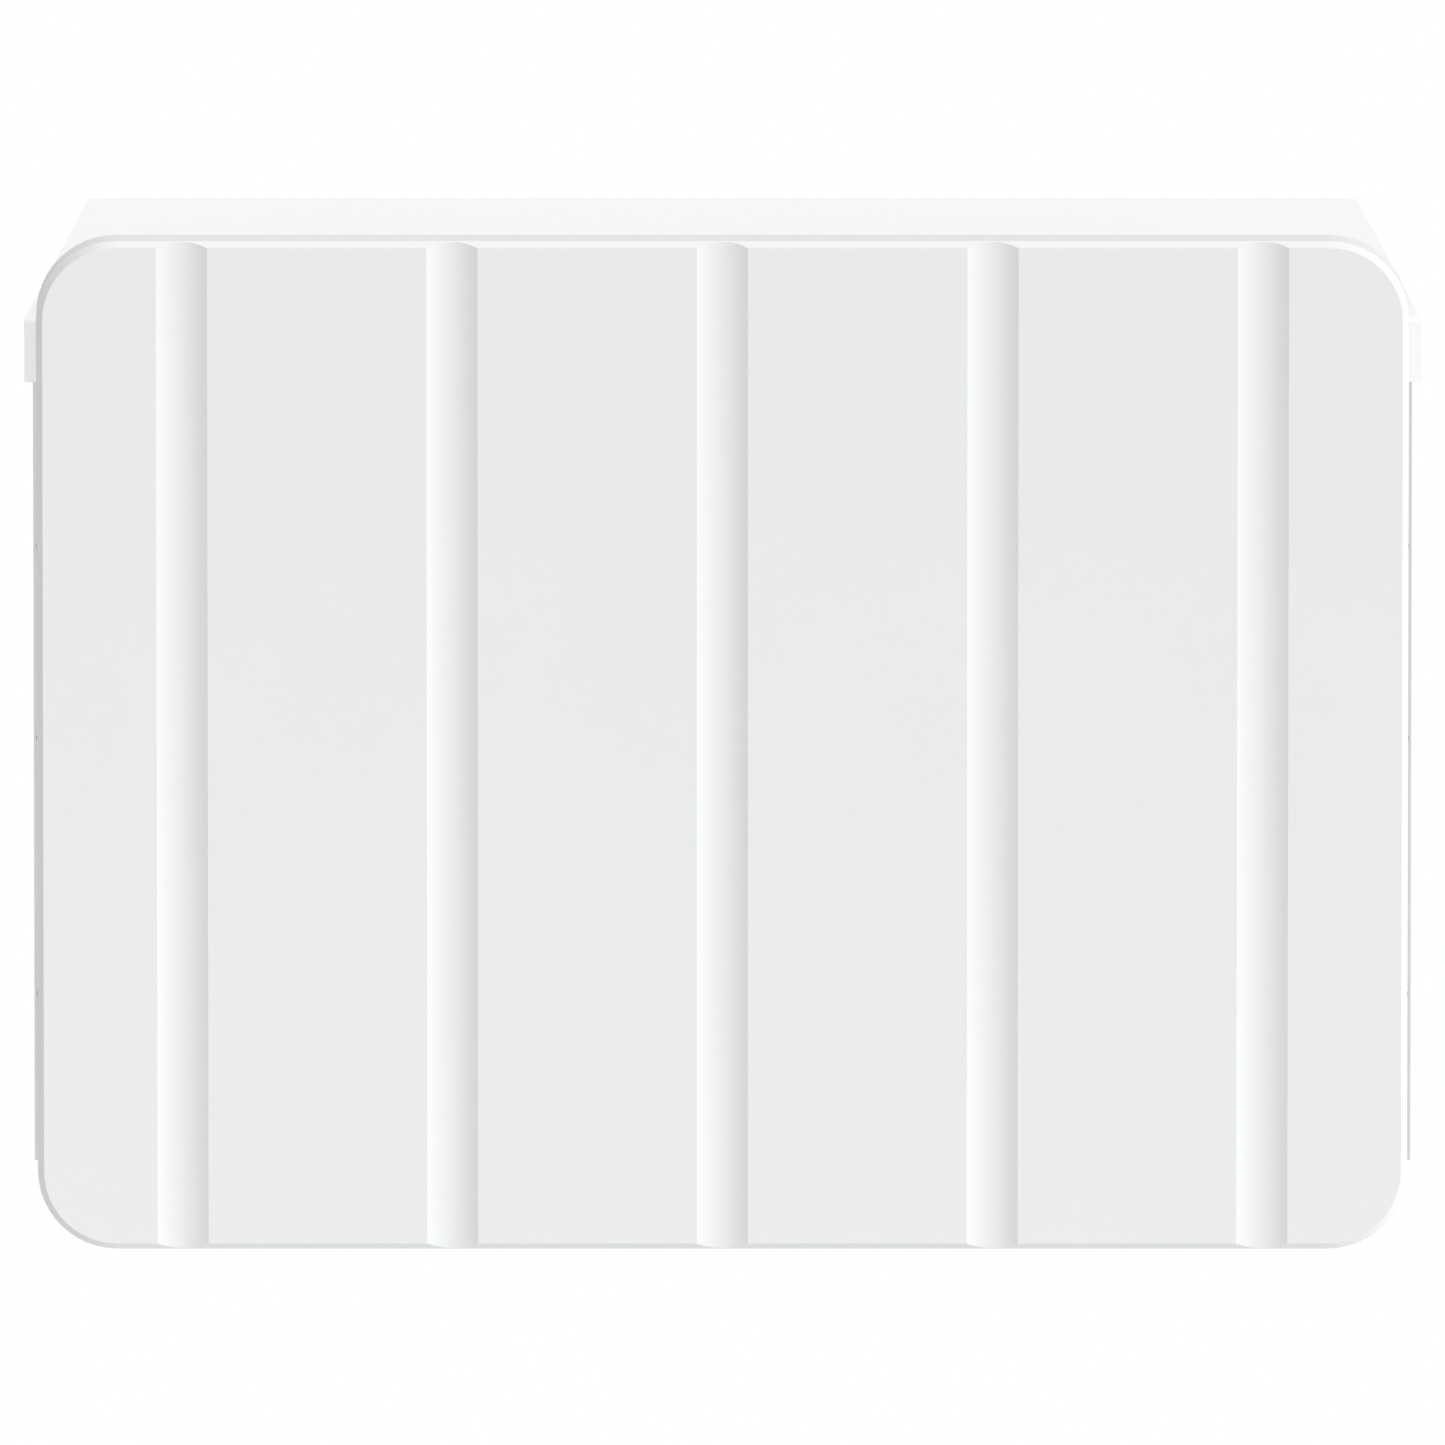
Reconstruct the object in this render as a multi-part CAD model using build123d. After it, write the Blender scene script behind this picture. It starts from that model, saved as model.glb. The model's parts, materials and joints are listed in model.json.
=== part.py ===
from build123d import *
import math
import os

# Wall battery unit: a fluted front cover on ball studs, a rain hood, a tapered chassis tub,
# two modules of prismatic cells, microinverters, battery electronics and a wiring bay.
# Millimetres. +Z up, +X to the right of someone facing the unit, the wall is the plane Y = 0
# and the unit's front faces -Y. The origin is the centre of the wall bracket's bolt pattern.

# ---- driving dimensions -------------------------------------------------------------------
UNIT_DEPTH = 190.0          # wall to the face of the cover
COVER_WIDTH = 1056.0
COVER_HEIGHT = 788.0
COVER_DEPTH = 34.0
COVER_CORNER = 61.5
COVER_CHAMFER = 4.8
COVER_WALL = 2.5
FLUTE_COUNT = 5
FLUTE_PITCH = 208.0
FLUTE_WIDTH = 39.3
FLUTE_SINK = 4.3            # depth of a flute at its middle

HOOD_HALF_FRONT = 537.5
HOOD_HALF_BACK = 489.5
HOOD_FRONT_Z = 328.0
HOOD_BACK_Z = 397.0
HOOD_LIP = 49.0             # height of the drip lip
HOOD_SHEET = 2.0
HOOD_BEND = 5.0             # bend radius along the top front edge

SHEET = 2.0                 # chassis and panel sheet
TUB_INSET = 5.0             # flank of the tub inside the flank of the hood
TUB_UNDER_HOOD = 5.0        # top of the tub below the top of the hood
TUB_BOTTOM = -331.0
TUB_FLANGE = 14.0

CELL_THICK = 49.6           # a 100 Ah prismatic cell, terminals to the front
CELL_DEPTH = 118.0
CELL_HEIGHT = 159.0
CELLS_PER_MODULE = 16
CELL_GAP = 0.8
CELL_ROUND = 3.0
MODULE_LEFT = -474.0

INVERTER_COUNT = 6
INVERTER_PITCH = 113.0
INVERTER_SIZE = (104.0, 38.0, 185.0)

BOLT_SPACING_X = 406.4      # 16 inch studs
BOLT_SPACING_Z = 300.0
BOLT_SLOT_LENGTH = 30.0
BOLT_SLOT_RADIUS = 4.5

# ---- places worked out from them ----------------------------------------------------------
FACE_Y = -UNIT_DEPTH
RIM_Y = FACE_Y + COVER_DEPTH                    # rear rim of the cover
LIP_Y = RIM_Y + 1.0                             # outer face of the hood's drip lip
PANEL_Y = LIP_Y + 5.0                           # outer face of the inner front panel
FLANGE_Y = PANEL_Y + SHEET + 2.0                # front of the tub, behind panel and gasket
TUB_BACK = -14.0                                # outer face of the tub's back
TUB_BACK_IN = TUB_BACK - SHEET
HOOD_BACK_Y = -4.0
TAPER = (HOOD_HALF_FRONT - HOOD_HALF_BACK) / (HOOD_BACK_Y - LIP_Y)
SLOPE = (HOOD_BACK_Z - HOOD_FRONT_Z) / (HOOD_BACK_Y - LIP_Y)
TUB_FLOOR = TUB_BOTTOM + SHEET
MODULE_WIDTH = CELLS_PER_MODULE * CELL_THICK + (CELLS_PER_MODULE - 1) * CELL_GAP
END_PLATE = 8.0
CELL_BACK = TUB_BACK_IN - 1.5
CELL_FRONT = CELL_BACK - CELL_DEPTH
MODULE_RIGHT = MODULE_LEFT + MODULE_WIDTH + 2 * END_PLATE
BAY_WALL_X = MODULE_RIGHT + 4.0


def half_width(y, inset=0.0):
    """Half width between the slanted flanks at a depth y."""
    return HOOD_HALF_FRONT - inset - TAPER * (y - LIP_Y)


def roof(y, drop=0.0):
    """Height of the sloped top at a depth y."""
    return HOOD_FRONT_Z - drop + SLOPE * (y - LIP_Y)


FAR = 600.0                 # beyond the unit on any side, for cutting blocks


# ---- building blocks ----------------------------------------------------------------------
def block(x, y, z):
    """A box from its low and high ends along X, Y and Z."""
    ends = (x, y, z)
    middle = [(low + high) / 2 for low, high in ends]
    return Pos(*middle) * Box(*[high - low for low, high in ends])


def rod(radius, axis, at, span):
    """A round bar along axis; at holds its two other coordinates in X, Y, Z order."""
    middle = (span[0] + span[1]) / 2
    length = span[1] - span[0]
    if axis == "x":
        return Pos(middle, *at) * Rot(0, 90, 0) * Cylinder(radius, length)
    if axis == "y":
        return Pos(at[0], middle, at[1]) * Rot(90, 0, 0) * Cylinder(radius, length)
    return Pos(*at, middle) * Cylinder(radius, length)


def hexagon(across, axis, at, span):
    """A hexagonal bar, such as a nut or a bolt head."""
    prism = extrude(RegularPolygon(across / math.sqrt(3), 6), span[1] - span[0])
    if axis == "y":
        return Pos(at[0], span[1], at[1]) * Rot(90, 0, 0) * prism
    return Pos(*at, span[0]) * prism


def tube(radius, points, bends):
    """A cable along straight runs joined by tangent arcs."""
    path = FilletPolyline(*points, radius=bends)
    section = Plane(origin=path @ 0, z_dir=path % 0) * Circle(radius)
    return sweep(section, path=path)


def flanked(front, back, z, inset):
    """A block between the slanted flanks, from y = front to y = back."""
    outline = Polyline(
        (-half_width(front, inset), front), (half_width(front, inset), front),
        (half_width(back, inset), back), (-half_width(back, inset), back), close=True)
    return Pos(0, 0, z[0]) * extrude(make_face(outline), z[1] - z[0])


def across_unit(outline):
    """A side outline in Y and Z carried across the unit, well past both flanks."""
    side = Plane(origin=(-FAR, 0, 0), x_dir=(0, 1, 0), z_dir=(1, 0, 0))
    return extrude(side * make_face(outline), 2 * FAR)


def above_roof(drop):
    """Everything above the sloped top, lowered by drop, as a cutting block."""
    high = HOOD_BACK_Z + 60
    edge = 40.0
    outline = Polyline(
        (LIP_Y - edge, roof(LIP_Y - edge, drop)), (edge, roof(edge, drop)),
        (edge, high), (LIP_Y - edge, high), close=True)
    return across_unit(outline)


def slab(width, height, corner, y):
    """An upright plate with round corners, centred on the origin."""
    plane = Plane(origin=(0, y[1], 0), x_dir=(1, 0, 0), z_dir=(0, -1, 0))
    return extrude(plane * RectangleRounded(width, height, corner), y[1] - y[0])


parts = {}


def node(name, *solids):
    """Keep the solids of one named piece, or of one group of identical pieces."""
    parts[name] = list(solids)


# ---- front cover --------------------------------------------------------------------------
FLUTE_RADIUS = (FLUTE_WIDTH ** 2 / 4 + FLUTE_SINK ** 2) / (2 * FLUTE_SINK)
FLUTE_AXIS_Y = FACE_Y + FLUTE_SINK - FLUTE_RADIUS
STUD_ROWS = (-250.0, 250.0)
STUD_COLUMNS = (-312.0, 0.0, 312.0)
BAR_FRONT = FACE_Y + FLUTE_SINK + COVER_WALL + 0.2
BAR_BACK = BAR_FRONT + 12.0
BAR_HALF_LENGTH = 480.0
BAR_HALF_HEIGHT = 15.0
BALL_RADIUS = 5.0
BALL_SEAT = 5.5             # centre of the ball in front of the panel
STUD_HEX = 14.0
STUD_HEX_HEIGHT = 4.0
STUD_SHANK = 3.5
SOCKET_RADIUS = 11.0
SOCKET_HEIGHT = 8.0
SOCKET_CLEARANCE = 0.4


def flutes(radius):
    middle = (FLUTE_COUNT - 1) / 2
    height = COVER_HEIGHT + 20
    return [rod(radius, "z", ((i - middle) * FLUTE_PITCH, FLUTE_AXIS_Y), (-height / 2, height / 2))
            for i in range(FLUTE_COUNT)]


def front_cover():
    outer = slab(COVER_WIDTH, COVER_HEIGHT, COVER_CORNER, (FACE_Y, RIM_Y))
    outer = chamfer(outer.faces().sort_by(Axis.Y)[0].edges(), COVER_CHAMFER)
    outer = outer - flutes(FLUTE_RADIUS)
    inner = slab(COVER_WIDTH - 2 * COVER_WALL, COVER_HEIGHT - 2 * COVER_WALL,
                 COVER_CORNER - COVER_WALL, (FACE_Y + COVER_WALL, RIM_Y))
    inner = chamfer(inner.faces().sort_by(Axis.Y)[0].edges(), COVER_CHAMFER - COVER_WALL / 2)
    inner = inner - flutes(FLUTE_RADIUS + COVER_WALL)
    return outer - inner


def cover_bars():
    """Two channel bars behind the flutes, open towards the face."""
    bars = []
    for z in STUD_ROWS:
        ends = (-BAR_HALF_LENGTH, BAR_HALF_LENGTH)
        half = BAR_HALF_HEIGHT
        channel = block(ends, (BAR_FRONT, BAR_BACK), (z - half, z + half))
        half = BAR_HALF_HEIGHT - SHEET
        hollow = block(ends, (BAR_FRONT, BAR_BACK - SHEET), (z - half, z + half))
        bars.append(channel - hollow)
    return bars


def ball_stud(x, z):
    base_top = BAR_BACK + STUD_HEX_HEIGHT
    base = hexagon(STUD_HEX, "y", (x, z), (BAR_BACK, base_top))
    shank = rod(STUD_SHANK, "y", (x, z), (base_top, PANEL_Y - BALL_RADIUS))
    return base + shank + Pos(x, PANEL_Y - BALL_SEAT, z) * Sphere(BALL_RADIUS)


def stud_socket(x, z):
    depth = (PANEL_Y - SOCKET_HEIGHT, PANEL_Y)
    cup = rod(SOCKET_RADIUS, "y", (x, z), depth)
    return cup - rod(BALL_RADIUS + SOCKET_CLEARANCE, "y", (x, z), depth)


stud_places = [(x, z) for z in STUD_ROWS for x in STUD_COLUMNS]
node("front_cover", front_cover())
node("cover_bars", *cover_bars())
node("cover_ball_studs", *[ball_stud(x, z) for x, z in stud_places])
node("cover_stud_sockets", *[stud_socket(x, z) for x, z in stud_places])


# ---- places on the flank and in the panel that several pieces share -------------------------
CONTROL_Y = -70.0           # isolator, button and light sit on the flank, nearer the wall
CONTROL_FACE_X = 514.5      # outer face of their bezels, inside the line of the tub's front
ISOLATOR_Z = -40.0
BUTTON_Z = -120.0
LIGHT_Z = -165.0
BREAKER_X = 440.0
BREAKER_Z = 130.0
BREAKER_HALF_HEIGHT = 42.0
BREAKER_LUG_Y = -105.0
BREAKER_NOSE = (20.0, 46.0)  # width and height of the part that shows through the panel
FLOOR_HOLE_Y = -80.0        # centre line of every fitting in the floor
HUB_PLACES = ((400.0, FLOOR_HOLE_Y), (452.0, FLOOR_HOLE_Y))
PLUG_PLACES = ((-400.0, FLOOR_HOLE_Y), (-450.0, FLOOR_HOLE_Y))
HUB_NECK = 17.0
HUB_BORE = 11.9             # takes 3/4 inch conduit
HUB_THREAD = 13.9
HUB_LENGTH = 28.0
THREAD_GAP = 0.1
VENT_PLACE = (200.0, FLOOR_HOLE_Y)
VENT_THREAD = 7.9
FLANK_HOLES = ((ISOLATOR_Z, 6.0), (BUTTON_Z, 9.0), (LIGHT_Z, 3.0))
FLANK_CUT = (480.0, 530.0)  # from inside the flank to outside it
SCREW_X = (-420.0, -140.0, 140.0, 420.0)
SCREW_SIDE_Z = (-200.0, 0.0, 150.0)
SCREW_RADIUS = 2.0
SCREW_HEAD_RADIUS = 4.5
SCREW_HEAD_HEIGHT = 2.4
SCREW_SOCKET = 3.0
SCREW_SOCKET_DEPTH = 1.4
SCREW_LINE = 9.0            # screw line inside the edge of the panel
HOOD_SPACER_RADIUS = 4.0
HOOD_SPACER_Y = (-125.0, -75.0, -30.0)
HOOD_SHEET_UPRIGHT = HOOD_SHEET * math.hypot(1.0, SLOPE)    # the sloped sheet's upright thickness
SEAL_STRIPS = ((-140.0, -125.0), (-30.0, -18.0))            # front and back of each foam strip
SEAL_INSET = 20.0
PANEL_TOP = HOOD_FRONT_Z - TUB_UNDER_HOOD - 4.0
PANEL_HALF = half_width(PANEL_Y, TUB_INSET)


def panel_screw_places():
    low = TUB_BOTTOM + SCREW_LINE
    high = PANEL_TOP - SCREW_LINE
    side = PANEL_HALF - SCREW_LINE
    rows = [(x, z) for z in (low, high) for x in SCREW_X]
    return rows + [(x, z) for x in (-side, side) for z in SCREW_SIDE_Z]


# ---- chassis ------------------------------------------------------------------------------
def chassis_tub():
    tall = (TUB_BOTTOM, HOOD_BACK_Z)
    outer = flanked(FLANGE_Y, TUB_BACK, tall, TUB_INSET) - above_roof(TUB_UNDER_HOOD)
    inside = (TUB_FLOOR, HOOD_BACK_Z)
    inner = flanked(FLANGE_Y + SHEET, TUB_BACK_IN, inside, TUB_INSET + SHEET)
    inner = inner - above_roof(TUB_UNDER_HOOD + SHEET)
    mouth_x = half_width(FLANGE_Y, TUB_INSET) - TUB_FLANGE
    mouth_z = (TUB_BOTTOM + TUB_FLANGE, PANEL_TOP - TUB_FLANGE)
    mouth = block((-mouth_x, mouth_x), (FLANGE_Y, FLANGE_Y + SHEET), mouth_z)
    tub = outer - inner - mouth
    for x, y in HUB_PLACES + PLUG_PLACES:
        tub = tub - rod(HUB_THREAD + THREAD_GAP, "z", (x, y), (TUB_BOTTOM - 1, TUB_FLOOR + 1))
    tub = tub - rod(VENT_THREAD + THREAD_GAP, "z", VENT_PLACE, (TUB_BOTTOM - 1, TUB_FLOOR + 1))
    for z, radius in FLANK_HOLES:
        tub = tub - rod(radius, "x", (CONTROL_Y, z), FLANK_CUT)
    for x, z in panel_screw_places():
        tub = tub - rod(SCREW_RADIUS, "y", (x, z), (FLANGE_Y - 1, FLANGE_Y + SHEET + 0.5))
    return tub


def front_panel():
    """The inner front: a flat sheet with a window for the breaker."""
    panel = block((-PANEL_HALF, PANEL_HALF), (PANEL_Y, PANEL_Y + SHEET), (TUB_BOTTOM, PANEL_TOP))
    width, height = BREAKER_NOSE
    window = block((BREAKER_X - width / 2 - 1, BREAKER_X + width / 2 + 1),
                   (PANEL_Y - 1, PANEL_Y + SHEET + 1),
                   (BREAKER_Z - height / 2 - 1, BREAKER_Z + height / 2 + 1))
    panel = panel - window
    for x, z in panel_screw_places():
        panel = panel - rod(SCREW_RADIUS, "y", (x, z), (PANEL_Y - 1, PANEL_Y + SHEET + 1))
    return panel


def panel_gasket():
    back = (PANEL_Y + SHEET, FLANGE_Y)
    strip = TUB_FLANGE - 1
    gasket = block((-PANEL_HALF + 1, PANEL_HALF - 1), back, (TUB_BOTTOM + 1, PANEL_TOP - 1))
    gasket = gasket - block((-PANEL_HALF + strip, PANEL_HALF - strip), back,
                            (TUB_BOTTOM + strip, PANEL_TOP - strip))
    for x, z in panel_screw_places():
        gasket = gasket - rod(SCREW_RADIUS, "y", (x, z), back)
    return gasket


def panel_screw(x, z):
    top = PANEL_Y - SCREW_HEAD_HEIGHT
    head = rod(SCREW_HEAD_RADIUS, "y", (x, z), (top, PANEL_Y))
    shank = rod(SCREW_RADIUS, "y", (x, z), (PANEL_Y, FLANGE_Y + SHEET))
    socket = hexagon(SCREW_SOCKET, "y", (x, z), (top, top + SCREW_SOCKET_DEPTH))
    return head + shank - socket


def rain_hood():
    """Sloped top sheet, bent down in front and along both flanks as a drip lip."""
    outline = [(LIP_Y, HOOD_FRONT_Z), (HOOD_BACK_Y, HOOD_BACK_Z),
               (HOOD_BACK_Y, HOOD_BACK_Z - HOOD_LIP), (LIP_Y, HOOD_FRONT_Z - HOOD_LIP)]
    outer = across_unit(Polyline(*outline, close=True))
    tall = (HOOD_FRONT_Z - HOOD_LIP - 1, HOOD_BACK_Z + 1)
    outer = outer & flanked(LIP_Y, HOOD_BACK_Y, tall, 0)
    bend = outer.edges().filter_by(Axis.X).sort_by(Axis.Y)[:2].sort_by(Axis.Z)[-1]
    outer = fillet(bend, HOOD_BEND)
    inner = flanked(LIP_Y + HOOD_SHEET, 20, (HOOD_FRONT_Z - HOOD_LIP - 10, HOOD_BACK_Z + 40),
                    HOOD_SHEET)
    inner = inner - above_roof(HOOD_SHEET_UPRIGHT)
    bend = inner.edges().filter_by(Axis.X).group_by(Axis.Y)[0].sort_by(Axis.Z)[-1]
    inner = fillet(bend, HOOD_BEND - HOOD_SHEET)
    return outer - inner


def hood_seal():
    """Foam strips between the tub's top and the hood, at the front and at the back."""
    strips = []
    tall = (HOOD_FRONT_Z - HOOD_LIP, HOOD_BACK_Z)
    for front, back in SEAL_STRIPS:
        strip = flanked(front, back, tall, SEAL_INSET) - above_roof(HOOD_SHEET_UPRIGHT)
        below = flanked(front - 1, back + 1, tall, SEAL_INSET / 2) - above_roof(TUB_UNDER_HOOD)
        strips.append(strip - below)
    return strips


def hood_spacer_places():
    return [(side, y, roof(y) - HOOD_LIP / 2) for side in (-1, 1) for y in HOOD_SPACER_Y]


def hood_spacer(side, y, z):
    """A threaded spacer bonded between the hood's side lip and the flank of the tub."""
    spread = TAPER * HOOD_SPACER_RADIUS
    lip = half_width(y, HOOD_SHEET)
    span = (side * (half_width(y, TUB_INSET) + spread), side * (lip - spread))
    return rod(HOOD_SPACER_RADIUS, "x", (y, z), sorted(span))


node("chassis_tub", chassis_tub())
node("front_panel", front_panel())
node("panel_gasket", panel_gasket())
node("panel_screws", *[panel_screw(x, z) for x, z in panel_screw_places()])
node("rain_hood", rain_hood())
node("hood_seal_strips", *hood_seal())
node("hood_spacers", *[hood_spacer(*place) for place in hood_spacer_places()])


# ---- wall mounting ------------------------------------------------------------------------
BRACKET = (560.0, 400.0, 3.0)
HOOK_DEPTH = 11.0
HOOK_LIP = 22.0
HOOK_SHEET = 2.5
RAIL_HALF = 260.0
RAIL_WEB = 23.0             # height of the rail's web on the tub
RAIL_SHEET = 3.0
RAIL_GAP = 0.5              # between the hook's lip and the rail's lip
TAB_HALF = 15.0
LOCK_Y = -6.0
LOCK_HEX = 10.0
LOCK_FLANGE = 5.2
FOOT_RADIUS = 20.0
FOOT_PLACES = ((-380.0, -290.0), (380.0, -290.0))
LOCK_X = (-100.0, 100.0)


def wall_bracket():
    width, height, thick = BRACKET
    half, top = width / 2, height / 2
    plate = block((-half, half), (-thick, 0), (-top, top))
    shelf = block((-half, half), (-HOOK_DEPTH, 0), (top, top + thick))
    lip = block((-half, half), (-HOOK_DEPTH, -HOOK_DEPTH + HOOK_SHEET), (top, top + HOOK_LIP))
    bracket = plate + shelf + lip
    slot = SlotOverall(BOLT_SLOT_LENGTH, 2 * BOLT_SLOT_RADIUS)
    wall = Plane(origin=(0, 1, 0), x_dir=(1, 0, 0), z_dir=(0, -1, 0))
    for x in (-BOLT_SPACING_X / 2, BOLT_SPACING_X / 2):
        for z in (-BOLT_SPACING_Z / 2, BOLT_SPACING_Z / 2):
            bracket = bracket - extrude(wall * Pos(x, z) * slot, thick + 2)
    for x in LOCK_X:
        bracket = bracket + block((x - TAB_HALF, x + TAB_HALF), (-HOOK_DEPTH, 0), (-top - thick, -top))
    return bracket


def hanger_rail():
    """Z-section on the back of the tub whose lip drops behind the bracket's hook."""
    high = BRACKET[1] / 2 + HOOK_LIP + 1
    low = high - HOOK_LIP + 5
    ends = (-RAIL_HALF, RAIL_HALF)
    lip_front = -HOOK_DEPTH + HOOK_SHEET + RAIL_GAP
    lip_back = lip_front + HOOK_SHEET
    web = block(ends, (TUB_BACK, TUB_BACK + HOOK_SHEET), (high - RAIL_WEB, high))
    top = block(ends, (TUB_BACK, lip_back), (high, high + RAIL_SHEET))
    drop = block(ends, (lip_front, lip_back), (low, high))
    return web + top + drop


def lock_screw(x):
    """A security screw up through the bracket's tab into a nut strip."""
    z = -BRACKET[1] / 2 - BRACKET[2]
    head = hexagon(LOCK_HEX, "z", (x, LOCK_Y), (z - 6, z))
    return head + rod(LOCK_FLANGE, "z", (x, LOCK_Y), (z - 7.5, z - 6))


node("wall_bracket", wall_bracket())
node("hanger_rail", hanger_rail())
node("bracket_lock_screws", *[lock_screw(x) for x in LOCK_X])
node("wall_spacer_feet", *[rod(FOOT_RADIUS, "y", place, (TUB_BACK, 0)) for place in FOOT_PLACES])


# ---- battery modules ----------------------------------------------------------------------
SKID = 7.0                  # the trays stand on skids, clear of the fittings in the floor
SKID_HALF = 6.0
BAND_SHEET = 1.0
BAND_HALF = 8.0
BAND_INSET = 30.0           # from the front and the back of the cells
BAND_ROOM = BAND_SHEET + 0.2
MODULE_BOTTOM = SHEET + BAND_ROOM
MODULE_RISE = SKID + MODULE_BOTTOM + CELL_HEIGHT + BAND_ROOM
TRAY_OVERHANG = 2.0
TRAY_BACK_HEIGHT = 60.0
MODULE_FLOORS = {"lower": TUB_FLOOR + SKID, "upper": TUB_FLOOR + SKID + MODULE_RISE}
TERMINAL_SPREAD = 50.0      # terminals above and below the middle of a cell
TERMINAL_RADIUS = 8.0
LINK_FRONT = CELL_FRONT - 3
LINK_THICK = 1.5
LINK_INSET = 12.0
LINK_HALF = 10.0
LID_FRONT = LINK_FRONT - 3.5
LID_THICK = 1.5
LID_WALL = 2.0
RISER_Y = LID_FRONT - 0.3
RISER_THICK = 2.0
RISER_HALF = 8.0
POST_RADIUS = 4.0


def cell_x(index):
    """Left side of one cell."""
    return MODULE_LEFT + END_PLATE + index * (CELL_THICK + CELL_GAP)


RISER_X = {"positive": cell_x(0) + CELL_THICK / 2,
           "negative": cell_x(CELLS_PER_MODULE - 1) + CELL_THICK / 2}


def tab_height(floor):
    """Height of the terminal tabs at both ends of a module."""
    return floor + MODULE_BOTTOM + CELL_HEIGHT / 2 + TERMINAL_SPREAD


def cell(index, floor):
    low = floor + MODULE_BOTTOM
    left = cell_x(index)
    can = block((left, left + CELL_THICK), (CELL_FRONT, CELL_BACK), (low, low + CELL_HEIGHT))
    can = fillet(can.edges().filter_by(Axis.Y), CELL_ROUND)
    middle = low + CELL_HEIGHT / 2
    for z in (middle - TERMINAL_SPREAD, middle + TERMINAL_SPREAD):
        can = can + rod(TERMINAL_RADIUS, "y", (left + CELL_THICK / 2, z), (LINK_FRONT, CELL_FRONT))
    return can


def separator(index, floor):
    low = floor + MODULE_BOTTOM
    left = cell_x(index) + CELL_THICK
    return block((left, left + CELL_GAP), (CELL_FRONT, CELL_BACK), (low, low + CELL_HEIGHT))


def series_links(floor):
    """Links that join neighbouring cells in turn, high and low, and one tab at each end."""
    middle = floor + MODULE_BOTTOM + CELL_HEIGHT / 2
    links = []
    for index in range(-1, CELLS_PER_MODULE):
        z = middle + TERMINAL_SPREAD * (1 if index % 2 else -1)
        left = cell_x(max(index, 0)) + LINK_INSET
        right = cell_x(min(index + 1, CELLS_PER_MODULE - 1)) + CELL_THICK - LINK_INSET
        depth = (LINK_FRONT - LINK_THICK, LINK_FRONT)
        links.append(block((left, right), depth, (z - LINK_HALF, z + LINK_HALF)))
    return links


def end_plates(floor):
    low = floor + MODULE_BOTTOM
    depth = (CELL_FRONT, CELL_BACK)
    return [block((x, x + END_PLATE), depth, (low, low + CELL_HEIGHT))
            for x in (MODULE_LEFT, MODULE_RIGHT - END_PLATE)]


def bands(floor):
    """Two steel bands that hold the cells and end plates together."""
    low = floor + MODULE_BOTTOM
    high = low + CELL_HEIGHT
    loops = []
    for y in (CELL_BACK - BAND_INSET, CELL_FRONT + BAND_INSET):
        depth = (y - BAND_HALF, y + BAND_HALF)
        loop = block((MODULE_LEFT - BAND_SHEET, MODULE_RIGHT + BAND_SHEET), depth,
                     (low - BAND_SHEET, high + BAND_SHEET))
        loops.append(loop - block((MODULE_LEFT, MODULE_RIGHT), depth, (low, high)))
    return loops


def module_tray(floor):
    """Sheet under a module with an upright back and two skids."""
    ends = (MODULE_LEFT - TRAY_OVERHANG, MODULE_RIGHT + TRAY_OVERHANG)
    tray = block(ends, (CELL_FRONT, CELL_BACK), (floor, floor + SHEET))
    tray = tray + block(ends, (CELL_BACK, TUB_BACK_IN), (floor, floor + TRAY_BACK_HEIGHT))
    for y in (CELL_FRONT + SKID_HALF, CELL_BACK - SKID_HALF):
        tray = tray + block(ends, (y - SKID_HALF, y + SKID_HALF), (floor - SKID, floor))
    return tray


def module_lid(floor):
    """Clear insulating lid over the links, held off them by its rim."""
    low = floor + MODULE_BOTTOM + LID_WALL
    high = floor + MODULE_BOTTOM + CELL_HEIGHT - LID_WALL
    lid = block((MODULE_LEFT, MODULE_RIGHT), (LID_FRONT, CELL_FRONT), (low, high))
    lid = lid - block((MODULE_LEFT + LID_WALL, MODULE_RIGHT - LID_WALL),
                      (LID_FRONT + LID_THICK, CELL_FRONT), (low + LID_WALL, high - LID_WALL))
    for x in RISER_X.values():
        lid = lid - rod(POST_RADIUS + 1, "y", (x, tab_height(floor)), (LID_FRONT - 1, CELL_FRONT))
    return lid


def riser(x, ends):
    """Bar that joins both modules' terminal tabs, with a post through each lid."""
    bar = block((x - RISER_HALF, x + RISER_HALF), (RISER_Y - RISER_THICK, RISER_Y), ends)
    reach = (RISER_Y, LINK_FRONT - LINK_THICK)
    for floor in MODULE_FLOORS.values():
        bar = bar + rod(POST_RADIUS, "y", (x, tab_height(floor)), reach)
    return bar


def both(maker):
    """One group of pieces from both modules."""
    return [piece for floor in MODULE_FLOORS.values() for piece in maker(floor)]


numbers = range(CELLS_PER_MODULE)
for name, floor in MODULE_FLOORS.items():
    node(f"battery_cells_{name}", *[cell(i, floor) for i in numbers])
    node(f"module_lid_{name}", module_lid(floor))
node("module_trays", *[module_tray(floor) for floor in MODULE_FLOORS.values()])
node("cell_separators", *[separator(i, floor) for floor in MODULE_FLOORS.values()
                          for i in numbers[:-1]])
node("cell_links", *both(series_links))
node("module_end_plates", *both(end_plates))
node("module_bands", *both(bands))


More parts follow.
